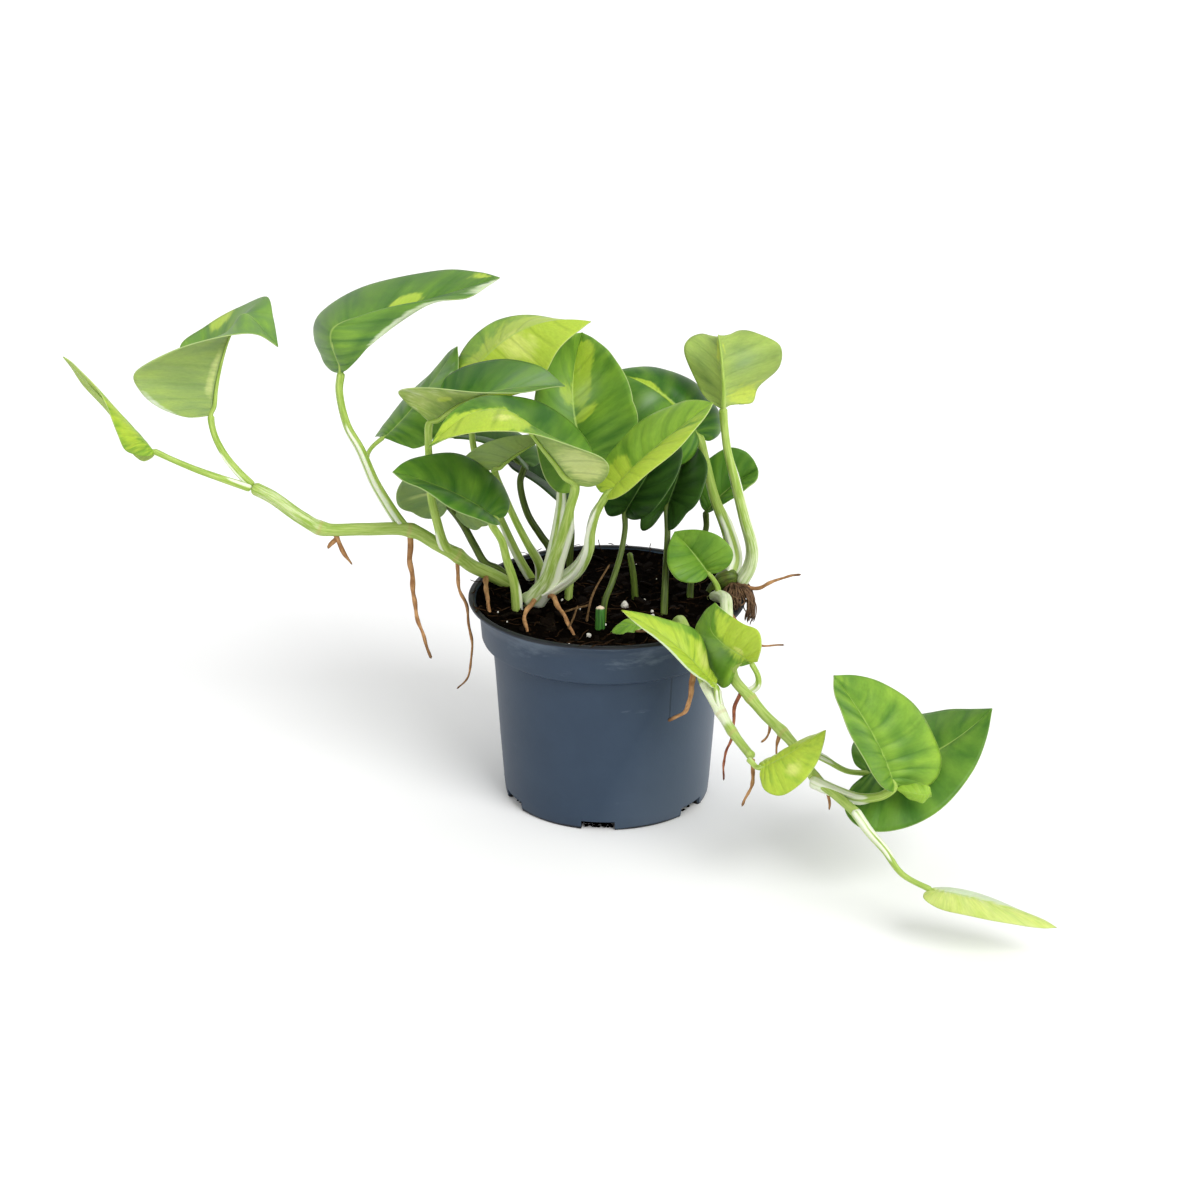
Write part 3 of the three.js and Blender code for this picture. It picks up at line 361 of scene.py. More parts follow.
# Each cork: tan, brown and the dark of the tip
CORK = corky_root("dry_root_cork", ("#bd9163", "#8f6641", "#36251a"))
RED_CORK = corky_root("young_root_cork", ("#a8694a", "#743f30", "#3a1f18"))
DAMP_CORK = corky_root("damp_root_cork", ("#7f6246", "#3c2a1c", "#150e09"))
PEAT = peat_mix()
BARK = crumb("composted_bark", "#060302", "#150e08", 0.75, 1.5)
COIR = crumb("coir_fibre", "#1b120a", "#3c2919", 0.7, 2.0)
TWIG = crumb("dry_twig_bark", "#3a2a1a", "#7d6243", 0.75, 1.2)
PERLITE = crumb("expanded_perlite", "#b9b3a6", "#efece4", 0.8, 0.8)
POT_PLASTIC = moulded_plastic()
FLOOR = pale_floor()


# Leaves, stems and roots

# Each leaf: its petiole's path and first and last radius, and its blade, which is either bowed and
# folded through five points or drawn by a midrib and two margins
LEAVES = {
    "leaf_far_left": dict(
        petiole=[(-158, -6, 148), (-168, -7, 152), (-180, -8, 157), (-191, -8, 162)],
        radius=(2, 1.3), base=(-197, -8, 165), mid=(-210, -9, 181), tip=(-233, -14, 210),
        left=(-210, -22, 177), right=(-213, 6, 169), arch=0.11, lobe=1.2, fold=(2, -1.2, 0.7), twist=-3,
    ),
    "leaf_left_folded": dict(
        petiole=[(-157, -4, 149), (-162, -3, 154), (-168, -2, 162), (-172, -1, 171)],
        radius=(2, 1.4), base=(-173, 0, 179), arch=0.03,
        midrib=[(-170, 2, 196), (-164, 3, 214), (-156, 3, 224), (-142, -3, 211)],
        left_margin=[(-178, 3, 183), (-185, 7, 196), (-187, 17, 206), (-177, 28, 211), (-163, 30, 219),
                     (-149, 21, 227), (-145, 9, 220)],
        right_margin=[(-183, -3, 179), (-194, -8, 185), (-201, -13, 194), (-202, -16, 204), (-184, -20, 215),
                      (-161, -18, 220), (-150, -11, 219)],
    ),
    "leaf_left_tall": dict(
        petiole=[(-89, -4, 127), (-95, -3, 136), (-102, -1, 148), (-108, 0, 163), (-114, 2, 174),
                 (-117, 4, 189)],
        radius=(2.6, 1.6), base=(-116, 4, 197), arch=0.05,
        midrib=[(-119, 3, 217), (-97, 2, 225), (-71, 1, 232), (-46, 0, 241)],
        left_margin=[(-120, 11, 196), (-126, 20, 199), (-130, 28, 205), (-126, 31, 216), (-106, 26, 230),
                     (-73, 18, 239), (-56, 9, 241)],
        right_margin=[(-113, -1, 200), (-107, -5, 207), (-101, -6, 213), (-91, -5, 221), (-75, -9, 232),
                      (-60, -11, 235), (-51, -6, 239)],
    ),
    "leaf_dusty": dict(
        petiole=[(-69, 3, 114), (-72, 0, 118), (-75, -8, 133), (-77, -14, 148), (-77, -20, 165),
                 (-77, -22, 175)],
        radius=(2.4, 1.6), base=(-76, -22, 183), arch=0.03,
        midrib=[(-64, -23, 192), (-50, -23, 197), (-34, -22, 199), (-18, -21, 199)],
        left_margin=[(-74, -18, 188), (-72, -9, 193), (-69, -2, 198), (-60, 1, 202), (-44, -1, 205),
                     (-30, -6, 203), (-22, -14, 200)],
        right_margin=[(-80, -25, 188), (-85, -30, 194), (-88, -36, 202), (-75, -42, 205), (-54, -43, 203),
                      (-39, -37, 201), (-26, -29, 201)],
    ),
    "leaf_behind_dusty": dict(
        petiole=[(-92, 6, 124), (-104, 10, 145), (-106, 12, 157)],
        radius=(1.6, 0.9), base=(-99, 14, 164), mid=(-84, 22, 178), tip=(-66, 24, 203),
        left=(-94, 41, 168), right=(-75, 4, 168), arch=0.1, lobe=0,
    ),
    "leaf_lime_top": dict(
        petiole=[(-31, 30, 84), (-39, 26, 100), (-47, 22, 120), (-54, 16, 141), (-59, 10, 160),
                 (-60, 8, 179)],
        radius=(2.4, 1.4), base=(-60, 8, 195), mid=(-36, 11, 215), tip=(-7, 8, 219),
        left=(-49, 35, 211), right=(-31, -6, 196), arch=0, lobe=0.8, fold=(1.2, 1, 1.5), twist=-41,
    ),
    "leaf_centre_tall": dict(
        petiole=[(-28, 0, 97), (-23, 0, 118), (-20, -1, 137), (-19, -2, 147), (-13, -2, 153)],
        radius=(2.8, 1.5), base=(-7, -2, 156), mid=(-15, 9, 182), tip=(-11, 32, 207),
        left=(-31, -22, 175), right=(11, -8, 188), arch=0, lobe=0.7, fold=(0.7, 1.8, 0.7), twist=-12,
    ),
    "leaf_front_arched": dict(
        petiole=[(-34, -8, 95), (-26, -14, 108), (-23, -19, 119), (-19, -27, 134), (-16, -36, 149)],
        radius=(4, 1.8), base=(-14, -42, 162), arch=0.05,
        midrib=[(-26, -47, 180), (-40, -53, 198), (-58, -60, 199), (-74, -66, 187)],
        left_margin=[(-7, -45, 162), (-1, -52, 168), (0, -61, 177), (-9, -69, 186), (-29, -74, 196),
                     (-47, -74, 197), (-63, -70, 193)],
        right_margin=[(-9, -36, 164), (-7, -28, 168), (-9, -22, 175), (-16, -23, 185), (-31, -31, 196),
                      (-51, -45, 202), (-65, -58, 199)],
    ),
    "leaf_front_lime": dict(
        petiole=[(-30, -8, 97), (-21, -12, 104), (-13, -18, 113), (-8, -26, 126), (-7, -32, 137),
                 (-4, -40, 150)],
        radius=(3.4, 1.6), base=(1, -46, 160), mid=(21, -50, 182), tip=(44, -56, 203),
        left=(7, -30, 180), right=(19, -66, 177), arch=0.1,
    ),
    "leaf_front_dark": dict(
        petiole=[(-40, -9, 84), (-41, -12, 104), (-44, -17, 118), (-46, -22, 129), (-50, -27, 139)],
        radius=(2.4, 1.6), base=(-48, -30, 142), mid=(-68, -36, 157), tip=(-91, -46, 169),
        left=(-62, -53, 154), right=(-55, -15, 161), arch=0.1,
    ),
    "leaf_right_striped": dict(
        petiole=[(55, 9, 101), (57, 13, 107), (54, 16, 119), (48, 18, 135), (44, 20, 151)],
        radius=(3.4, 1.8), base=(41, 20, 162), mid=(26, 26, 179), tip=(2, 38, 187),
        left=(18, 9, 155), right=(45, 47, 171), arch=0.25, lobe=1.2, fold=(0.5, 0.6, 0.3), twist=-3,
    ),
    "leaf_right_round": dict(
        petiole=[(61, 6, 99), (64, 6, 105), (65, 6, 113), (61, 6, 129), (58, 7, 141), (56, 7, 149),
                 (53, 8, 161)],
        radius=(3, 1.6), base=(51, 8, 179), arch=0.05,
        midrib=[(51, 9, 190), (50, 12, 202), (49, 20, 209), (51, 31, 201)],
        left_margin=[(56, 14, 180), (64, 20, 178), (67, 25, 184), (76, 22, 194), (76, 19, 205),
                     (66, 24, 209), (57, 29, 208)],
        right_margin=[(47, 12, 180), (42, 18, 183), (38, 21, 190), (34, 23, 201), (36, 27, 205),
                      (42, 31, 206), (47, 32, 205)],
    ),
    "leaf_shade_back": dict(
        petiole=[(-16, 36, 84), (-17, 34, 96), (-16, 36, 111)],
        radius=(1.8, 1.2), base=(-18, 49, 118), mid=(-31, 48, 132), tip=(-47, 49, 142),
        left=(-27, 26, 134), right=(-22, 70, 136), arch=0.1,
    ),
    "leaf_shade_left": dict(
        petiole=[(-23, 33, 82), (-26, 30, 105), (-30, 29, 112), (-36, 26, 124), (-39, 26, 139)],
        radius=(2, 1.5), base=(-37, 29, 146), mid=(-55, 33, 156), tip=(-78, 28, 158),
        left=(-45, 11, 158), right=(-44, 54, 156), arch=0.1,
    ),
    "leaf_shade_round": dict(
        petiole=[(-2, -24, 84), (-1, -22, 100), (2, -18, 107), (6, -8, 117), (8, -2, 127)],
        radius=(1.5, 1.2), base=(8, 0, 134), mid=(17, -2, 151), tip=(27, 5, 166),
        left=(3, -15, 155), right=(27, -16, 150), arch=0.1,
    ),
    "leaf_shade_right": dict(
        petiole=[(25, -16, 84), (26, -6, 107), (27, 6, 121)],
        radius=(1.8, 1.3), base=(27, 14, 132), mid=(32, 18, 145), tip=(36, 26, 156),
        left=(15, 3, 139), right=(42, 0, 144), arch=0.1, lobe=4,
    ),
    "leaf_shade_far_right": dict(
        petiole=[(37, -2, 84), (38, 10, 98), (42, 22, 109), (45, 26, 117)],
        radius=(1.8, 1.3), base=(45, 27, 124), mid=(55, 30, 134), tip=(68, 30, 144),
        left=(48, 36, 148), right=(61, 18, 137), arch=0.1,
    ),
    "leaf_low_pale": dict(
        petiole=[(-40, 28, 84), (-49, 23, 97.5), (-55, 22, 101), (-60, 24, 109), (-65, 24, 119)],
        radius=(2.2, 1.6), base=(-71, 22, 129), mid=(-74, 18, 142), tip=(-78, 10, 156),
        left=(-53, 17, 125), right=(-94, 17, 132), arch=0.1, lobe=3,
    ),
    "leaf_small_pale": dict(
        petiole=[(-31, 22, 84), (-30, 14, 102), (-35, 8, 115), (-40, 2, 128), (-45, -4, 143)],
        radius=(2.2, 1.4), base=(-49, -8, 157), mid=(-38, -4, 164), tip=(-25, -2, 170),
        left=(-44, 10, 163), right=(-61, -6, 163), arch=0.1,
    ),
    "leaf_small_round": dict(
        petiole=[(50, -4, 93), (49, -6, 101)],
        radius=(1.8, 1), base=(45, -8, 108), mid=(38, -3, 116), tip=(30, 2, 124),
        left=(29, -15, 110), right=(54, -7, 121), arch=0.1,
    ),
    "leaf_rim_left": dict(
        petiole=[(48, -74, 71), (47, -73, 76)],
        radius=(1.6, 1.1), base=(46, -72, 82), arch=0.05,
        midrib=[(40, -72, 89), (33, -72, 97), (21, -70, 106), (6, -66, 114)],
        left_margin=[(45, -75, 82), (43, -78, 85), (40, -81, 88), (35, -82, 93), (26, -80, 101),
                     (18, -76, 107), (11, -71, 111)],
        right_margin=[(47, -68, 83), (45, -65, 84), (44, -63, 87), (42, -62, 95), (36, -62, 104),
                      (24, -63, 109), (14, -64, 112)],
    ),
    "leaf_rim_right": dict(
        petiole=[(61, -72, 79), (64, -73, 82), (64, -74, 87)],
        radius=(1.6, 1.1), base=(61, -74, 93), arch=0.06,
        midrib=[(55, -72, 97), (49, -69, 100), (44, -64, 105), (46, -60, 115)],
        left_margin=[(57, -72, 91), (53, -71, 90), (53, -70, 84), (49, -67, 79), (41, -56, 86),
                     (37, -52, 98), (41, -55, 108)],
        right_margin=[(62, -77, 95), (64, -81, 98), (65, -82, 104), (63, -79, 110), (57, -74, 111),
                      (52, -67, 112), (48, -63, 114)],
    ),
    "leaf_vine_lime": dict(
        petiole=[(60, -106, 62), (62, -109, 61)],
        radius=(1.4, 1), base=(64, -112, 62), mid=(76, -114, 70), tip=(90, -116, 81),
        left=(73, -97, 62), right=(75, -127, 58), arch=0.1,
    ),
    "leaf_vine_quilted": dict(
        petiole=[(87, -106, 53), (97, -110, 50), (106, -114, 49), (115, -117, 52)],
        radius=(2.4, 1.8), base=(119, -116, 56), mid=(108, -112, 80), tip=(93, -110, 103),
        left=(102, -137, 81), right=(137, -98, 71), arch=0.1,
    ),
    "leaf_vine_wide": dict(
        petiole=[(83, -98, 64), (93, -97, 58), (101, -96, 53)],
        radius=(1.6, 1.1), base=(110, -92, 50), mid=(138, -89, 58), tip=(163, -83, 76),
        left=(120, -59, 59), right=(120, -118, 36), arch=0.1,
    ),
    "leaf_vine_end": dict(
        petiole=[(103, -124, 46), (108, -128, 40), (114, -134, 35), (121, -142, 28)],
        radius=(1.9, 1.1), base=(132, -150, 25), mid=(153, -158, 24), tip=(182, -164, 15),
        left=(151, -148, 22), right=(142, -165, 22), arch=0.1,
    ),
}

# Each stem: its path, its first and last radius, and as places in its path its nodes and papery
# stretches with how papery they are
STEMS = {
    "stem_left_vine": dict(
        path=[(-42, 24, 80), (-45, 20, 91), (-52, 15, 98), (-61, 9, 105), (-67, 4, 112),
              (-75, 1, 118), (-87, -4, 127), (-107, -8, 129), (-125, -10, 130), (-134, -10, 135),
              (-147, -8, 144), (-156, -6, 148)],
        radius=(3.1, 2.6), nodes=[4, 6, 8, 11], papery=[(8, 11, 0.35)],
    ),
    "stem_right_vine": dict(
        path=[(42, 6, 80), (48, 0, 93), (52, -16, 99), (52, -34, 101), (52, -50, 95), (54, -66, 83),
              (61, -74, 77), (67, -81, 72), (74, -89, 68), (80, -96, 63), (87, -104, 54),
              (96, -112, 49), (104, -121, 45)],
        radius=(2.6, 2), nodes=[6, 8, 10, 12], papery=[(1, 5, 0.6)],
    ),
    "stem_side_vine": dict(
        path=[(28, -20, 80), (31, -30, 94), (33, -46, 99), (35.3, -58.5, 95.5), (41, -67, 82),
              (48, -74, 71), (53, -82, 65), (58, -90, 61), (61, -97, 60)],
        radius=(2.4, 1.8), nodes=[5, 6, 8], papery=[(4, 6, 0.7)],
    ),
    "stem_front": dict(
        path=[(-37, 2, 80), (-36, -1, 91), (-31, -7, 96)],
        radius=(3.2, 3.8), papery=[(0, 2, 0.5)],
    ),
    "stem_right_knot": dict(
        path=[(43, 12, 80), (48, 10, 92), (53, 8, 99), (59, 7, 101)],
        radius=(3, 3.9), nodes=[2], finish=DARK_PETIOLE,
    ),
    "stem_dry": dict(
        path=[(13, 2, 80), (12, 0, 102), (10, 0, 115)],
        radius=(1.7, 1.3), finish=DARK_PETIOLE,
    ),
    "stem_stub": dict(
        path=[(-18, 3, 80), (-17, 2, 97), (-16, 2, 104)],
        radius=(2, 1.7),
    ),
    "stem_cut": dict(
        path=[(-4, -34, 80), (-3, -33, 93), (-3, -31, 102)],
        radius=(2.3, 2.1), finish=CUT_STEM, cut=True,
    ),
}

# Each root: its thickest radius and its paths from the stem out, and the paths of fine root hairs
ROOTS = {
    "root_vine_end": dict(
        radius=1.3,
        paths=[[(-120, -9, 128), (-117, -9, 120), (-113, -8, 112)],
               [(-119, -9, 125), (-122, -9, 122), (-123, -9, 120)]],
    ),
    "root_left_long": dict(
        radius=1.4,
        paths=[[(-87, -4, 126), (-87, -4, 105), (-84, -5, 83), (-79, -6, 66)]],
    ),
    "root_left_inner": dict(
        radius=0.9,
        paths=[[(-67, 4, 110), (-66, 4, 95), (-63, 5, 86), (-62, 5, 78), (-61, 3, 67), (-63, 2, 54),
                (-68, 0, 48)]],
    ),
    "root_soil_left": dict(
        radius=1.3,
        paths=[[(-54, 15, 98), (-54.5, 6, 98.5), (-52, -14, 92.5), (-50.5, -19, 86)]],
    ),
    "root_front_left": dict(
        radius=1.3,
        paths=[[(-31, -9, 97), (-34, -18, 97), (-36, -28, 95), (-35, -36, 92), (-34.5, -39, 87)]],
    ),
    "root_front_right": dict(
        radius=1.3,
        paths=[[(-29, -7, 96), (-24.3, -14, 99.5), (-21.6, -22, 98), (-15, -37, 92), (-13.5, -40, 87)]],
    ),
    "root_over_collar": dict(
        radius=1.4,
        paths=[[(37, -64, 86), (36, -64, 73), (33, -62, 65), (26, -60, 60)]],
    ),
    "root_red_long": dict(
        radius=0.9, finish=RED_CORK,
        paths=[[(58, -71, 80), (55, -72, 73), (54, -73, 65), (53, -73, 57), (51, -73, 50),
                (50, -72, 37)]],
    ),
    "root_branch_upper": dict(radius=0.8, paths=[[(69, -84, 70), (68, -84, 63), (65, -85, 61)]]),
    "root_branch_lower": dict(radius=0.9, paths=[[(73, -88, 68), (72, -88, 61), (72, -88, 56)]]),
    "root_side_end": dict(
        radius=1,
        paths=[[(61, -98, 60), (61, -106, 52), (57, -110, 46), (56, -110, 43)]],
    ),
    "root_vine_short": dict(radius=0.8, paths=[[(92, -108, 51), (93, -108, 44), (93, -108, 40)]]),
    "root_rim_long": dict(
        radius=1,
        paths=[[(59, 5, 98), (67, 4, 96), (73, 3, 99), (82, 2, 103), (87, 1, 104)]],
    ),
    "root_rim_short": dict(
        radius=0.8,
        paths=[[(52, -30, 101), (62, -33, 88), (68, -33, 84), (78, -31, 83)]],
    ),
    "root_rim_tuft": dict(
        radius=1.3, finish=DAMP_CORK,
        paths=[[(58, 6, 97.5), (62.5, 3, 97), (65.4, 2, 91), (65, 0, 86)],
               [(58, 6, 97.5), (62.5, 6, 97), (65.6, 6, 91), (65.5, 5, 85)],
               [(58, 6, 97.5), (62, -1, 97), (65, -5, 91), (64.5, -7, 86)]],
        hairs=[[(58, 6, 98), (62.5, 0, 97), (64.5, -7, 91), (64, -10, 86)],
               [(58, 6, 98), (60.5, -2, 97), (63, -12, 94), (62, -17, 89)],
               [(57, 5, 98.5), (57, -4, 97.5), (58, -13, 96.5), (58, -20, 96)],
               [(56, 5, 98.5), (54, -3, 97), (53.5, -11, 96), (54, -19, 95.5)]],
    ),
}

SPROUT = dict(base=(17, -33, 93.4), mid=(10, -36, 95), tip=(1.5, -39, 92.6),
              left=(11, -40.5, 93.4), right=(11, -31, 95), arch=0.05, tone=(-0.2, 0, 0))
# The curled lobe beside the petiole of the quilted leaf
CURLED_LOBE = dict(base=(134.2, -119, 52.8), mid=(127.5, -120.5, 54.2), tip=(119.8, -117, 54.9),
                   left=(129, -119, 49.8), right=(129, -117, 57), arch=0.1, tone=(-0.9, 0.3, 0), grooved=0)

TWIGS = [[(-9, -29, 93), (-7.5, -28, 102.4), (-4, -22, 108), (1.3, -14, 115)],
         [(-17, -36, 92.5), (-15, -32, 96), (-12.7, -29, 101.3)],
         [(-7.5, -28, 101), (-14, -27, 99), (-19, -26, 96.5)],
         [(12, -40, 93.5), (18, -41, 94), (25, -43, 93.5)]]
# The grains of perlite that show in front: x, y and size
SEEN_PERLITE = [(8, -8, 3.4), (20, -22, 2.6), (20, -13, 1.4), (-1, -30, 1.5), (6, -34, 1.2),
                (-8, -42, 2.2)]

# How each leaf looks: its tone as deep (below nought: fresh), lime and cream; how much painted grey
# sheen it has; how strongly shade is painted in its vein grooves and light on the swells between them;
# how far it swells between its veins (quilt); the reach and width of its petiole's sheath, and how pale
# the petiole's foot is; the patches on it as (which, across, along, half width, half length, how much).
# A shaded leaf has a dull petiole, and an old one a darker blade, partly its own deeper green and partly
# painted shade.
LOOKS = {
    "leaf_far_left": dict(
        tone=(-0.65, 0.36, 0), sheath=(0.3, 0.3), pale=0.1, grooved=0.1,
        patches=[("lime", -0.6, 0.6, 0.4, 0.3, 0.3)],
    ),
    "leaf_left_folded": dict(
        tone=(0.05, 0, 0), waxy=0.2, pale=0.1, sheath=(0.6, 0.3), quilt=0.12,
        patches=[("lime", -0.97, 0.565, 0.26, 0.05, 1.2), ("deep", -0.35, 0.8, 0.35, 0.05, 0.9),
                 ("deep", -0.8, 0.86, 0.3, 0.06, -0.3), ("deep", 0.5, 0.46, 0.35, 0.04, 0.5),
                 ("cream", 0.06, 0.5, 0.06, 0.22, 0.7), ("papery", 1.0, 0.27, 0.12, 0.12, 0.9),
                 ("deep", 0.9, 0.42, 0.4, 0.2, -0.6)],
    ),
    "leaf_left_tall": dict(
        tone=(0.4, 0, 0), waxy=0.12, sheath=(0.75, 0.4), pale=0.15, quilt=0.2, grooved=0.3,
        patches=[("lime", -0.1, 0.76, 0.26, 0.045, 1.1), ("lime", -0.8, 0.92, 0.25, 0.07, 0.7),
                 ("deep", 0.3, 0.45, 0.35, 0.18, -0.7), ("deep", 0.68, 0.45, 0.12, 0.16, 0.5),
                 ("deep", 0.5, 0.83, 0.2, 0.06, 0.5), ("deep", -0.75, 0.65, 0.2, 0.3, 0.2),
                 ("papery", 1.0, 0.52, 0.13, 0.16, 1.2), ("papery", 1.05, 0.88, 0.3, 0.1, 1.0)],
    ),
    "leaf_dusty": dict(
        tone=(0.75, 0, 0), waxy=0, pale=0.1, sheath=(0.3, 0.3), quilt=0.1,
        patches=[("deep", -0.5, 0.48, 0.6, 0.14, 0.5), ("cream", 0.6, 0.4, 0.6, 0.3, 0.5),
                 ("papery", 0.75, 0.4, 0.5, 0.3, 0.35), ("waxy", -0.6, 0.86, 0.9, 0.14, 0.55),
                 ("deep", -0.5, 0.86, 0.9, 0.16, -0.4), ("lime", 0.28, 0.47, 0.13, 0.05, 0.9),
                 ("deep", 0.6, 0.4, 0.5, 0.35, -1.5)],
    ),
    "leaf_behind_dusty": dict(
        tone=(0.25, 0, 0), sheath=(0.2, 0.3),
        patches=[("waxy", 0.3, 0.85, 0.6, 0.1, 0.6), ("papery", 0.8, 0.75, 0.15, 0.12, 0.9)],
    ),
    "leaf_lime_top": dict(
        tone=(-0.5, 0.8, 0), sheath=(0.4, 0.4), pale=0.15,
        patches=[("lime", -0.8, 0.38, 0.4, 0.2, -0.5), ("cream", 0.22, 0.6, 0.5, 0.14, 0.75),
                 ("lime", -0.95, 0.7, 0.2, 0.3, -0.3)],
    ),
    "leaf_centre_tall": dict(
        tone=(-0.2, 0, 0), sheath=(0.85, 0.5), pale=0.3, grooved=0.2,
        patches=[("lime", 0.5, 0.88, 0.4, 0.08, 1.1), ("lime", 0.24, 0.78, 0.26, 0.13, 1.25),
                 ("cream", 0.3, 0.83, 0.2, 0.07, 0.4), ("lime", 0.2, 0.6, 0.28, 0.03, 0.8),
                 ("lime", -0.3, 0.72, 0.3, 0.06, 0.75),
                 ("waxy", -0.25, 0.7, 0.35, 0.12, 0.6), ("deep", 0.55, 0.34, 0.4, 0.12, 0.7),
                 ("deep", -0.5, 0.5, 0.5, 0.2, 0.4), ("waxy", 0.3, 0.7, 0.3, 0.06, 0.6),
                 ("deep", 0.1, 0.52, 0.25, 0.12, 0.6)],
    ),
    "leaf_front_arched": dict(
        tone=(0.05, 0, 0), sheath=(0.8, 0.8), pale=0.5, grooved=0.3, quilt=0.3,
        patches=[("lime", -0.6, 0.78, 0.7, 0.15, 1.1), ("lime", 0.2, 0.93, 0.9, 0.07, 1.0),
                 ("cream", -0.5, 0.73, 0.2, 0.05, 0.7), ("deep", 0.65, 0.66, 0.5, 0.16, 1.1),
                 ("deep", 0.45, 0.6, 0.5, 0.02, 0.6), ("deep", 0.4, 0.52, 0.5, 0.015, 0.4),
                 ("lime", -0.5, 0.35, 0.6, 0.2, 0.55), ("cream", -0.5, 0.35, 0.5, 0.18, 1.0),
                 ("waxy", -0.4, 0.4, 0.5, 0.15, 0.3)],
    ),
    "leaf_front_lime": dict(
        tone=(-0.75, 0.1, 0), sheath=(0.9, 0.8), pale=0.6, grooved=0.2, quilt=0.3,
        patches=[("lime", -0.25, 0.4, 0.25, 0.1, 0.9), ("lime", 0.65, 0.5, 0.6, 0.4, 0.8),
                 ("lime", 0, 0.16, 0.9, 0.18, 1.0), ("cream", 0.1, 0.14, 0.4, 0.1, 0.4),
                 ("deep", -0.5, 0.6, 0.5, 0.15, 0.4)],
    ),
    "leaf_front_dark": dict(
        tone=(0.6, 0, 0), sheath=(0.4, 0.4), pale=0.1, quilt=0.3,
        patches=[("deep", 0.38, 0.55, 0.24, 0.05, -0.85), ("lime", 0.4, 0.55, 0.14, 0.03, 0.3),
                 ("deep", -0.6, 0.5, 0.3, 0.3, 0.3), ("deep", 0, 0.9, 0.8, 0.12, -0.5)],
    ),
    "leaf_right_striped": dict(
        tone=(0.5, 0, 0), waxy=0, sheath=(0.5, 0.4), pale=0.15, grooved=0.25,
        patches=[("lime", 0.02, 0.84, 0.16, 0.1, 1.0), ("lime", -0.05, 0.66, 0.08, 0.14, 0.8),
                 ("deep", 0.5, 0.55, 0.5, 0.35, 0.8), ("waxy", -0.5, 0.74, 0.3, 0.04, 0.7),
                 ("waxy", -0.4, 0.58, 0.25, 0.03, 0.6)],
    ),
    "leaf_right_round": dict(
        tone=(-0.55, 0.05, 0), sheath=(0.75, 0.5), pale=0.55, quilt=0.1,
        patches=[("deep", 0.55, 0.5, 0.28, 0.24, 0.9), ("deep", -0.4, 0.64, 0.3, 0.14, 0.7),
                 ("lime", 0.13, 0.76, 0.1, 0.1, 1.2), ("lime", -0.6, 0.32, 0.6, 0.14, 0.75),
                 ("lime", -0.95, 0.62, 0.25, 0.12, 0.2), ("waxy", -0.42, 0.61, 0.22, 0.07, 0.35),
                 ("lime", -0.1, 0.76, 0.05, 0.08, 0.6)],
    ),
    "leaf_shade_back": dict(tone=(0.9, 0, 0), shaded=True, old=True, sheath=(0, 0)),
    "leaf_shade_left": dict(tone=(-0.5, 0, 0), shaded=True, old=True, sheath=(0, 0)),
    "leaf_shade_round": dict(tone=(0.8, 0, 0), shaded=True, old=True, sheath=(0, 0)),
    "leaf_shade_right": dict(tone=(0.6, 0, 0), shaded=True, old=True, sheath=(0, 0)),
    "leaf_shade_far_right": dict(
        tone=(0.5, 0, 0), shaded=True, sheath=(0, 0), patches=[("deep", 0.5, 0.6, 0.3, 0.1, -0.6)],
    ),
    "leaf_low_pale": dict(
        tone=(0.4, 0, 0), waxy=0.5, shaded=True, sheath=(0, 0),
        patches=[("cream", 0.5, 0.5, 0.4, 0.04, 0.7), ("deep", 0.5, 0.35, 0.5, 0.04, 0.5)],
    ),
    "leaf_small_pale": dict(tone=(-0.3, 0, 0.2), waxy=0.35, sheath=(0.5, 0.5), pale=0.3),
    "leaf_small_round": dict(tone=(-0.1, 0, 0), quilt=0.12, sheath=(0, 0)),
    "leaf_rim_left": dict(
        tone=(-0.6, 0.62, 0), sheath=(0.9, 0.8), pale=0.7, quilt=0.3, grooved=0.2,
        patches=[("cream", 0.45, 0.5, 0.4, 0.12, 0.8), ("lime", 0.45, 0.36, 0.5, 0.16, 0.5),
                 ("lime", 0.95, 0.3, 0.2, 0.2, -0.9), ("lime", 0.9, 0.7, 0.2, 0.2, -0.3),
                 ("deep", -0.1, 0.5, 0.14, 0.4, 0.5), ("papery", -1.0, 0.4, 0.1, 0.5, 1.1)],
    ),
    "leaf_rim_right": dict(
        tone=(-0.3, 0, 0), sheath=(0.5, 0.5), pale=0.3, quilt=0.35, grooved=0.1,
        patches=[("lime", 0.6, 0.42, 0.7, 0.42, 1.4), ("cream", 0.14, 0.5, 0.12, 0.1, 1.0),
                 ("deep", 0.8, 0.88, 0.6, 0.12, 0.4), ("deep", -0.12, 0.55, 0.15, 0.12, 0.9),
                 ("waxy", -0.3, 0.68, 0.3, 0.1, 0.6)],
    ),
    "leaf_vine_lime": dict(
        tone=(-0.8, 0.6, 0), sheath=(0, 0), pale=0.3, quilt=0.3, grooved=0.1,
        patches=[("cream", 0.6, 0.62, 0.25, 0.08, 0.8), ("lime", -0.7, 0.5, 0.35, 0.3, 0.3)],
    ),
    "leaf_vine_quilted": dict(
        tone=(-0.2, 0.0, 0), quilt=0.8, grooved=0.3, sheath=(0.7, 0.6), pale=0.6,
        patches=[("deep", -0.9, 0.6, 0.3, 0.5, 0.3), ("deep", 0.9, 0.4, 0.2, 0.3, -0.5),
                 ("deep", 0.35, 0.5, 0.1, 0.3, 0.35), ("deep", 0.12, 0.55, 0.12, 0.25, -0.4),
                 ("deep", -0.3, 0.45, 0.1, 0.25, 0.3)],
    ),
    "leaf_vine_wide": dict(
        tone=(0.4, 0, 0), quilt=0.7, grooved=0.3, sheath=(0.5, 0.5), pale=0.3,
        patches=[("deep", 0, 0.3, 0.8, 0.2, 0.3)],
    ),
    "leaf_vine_end": dict(
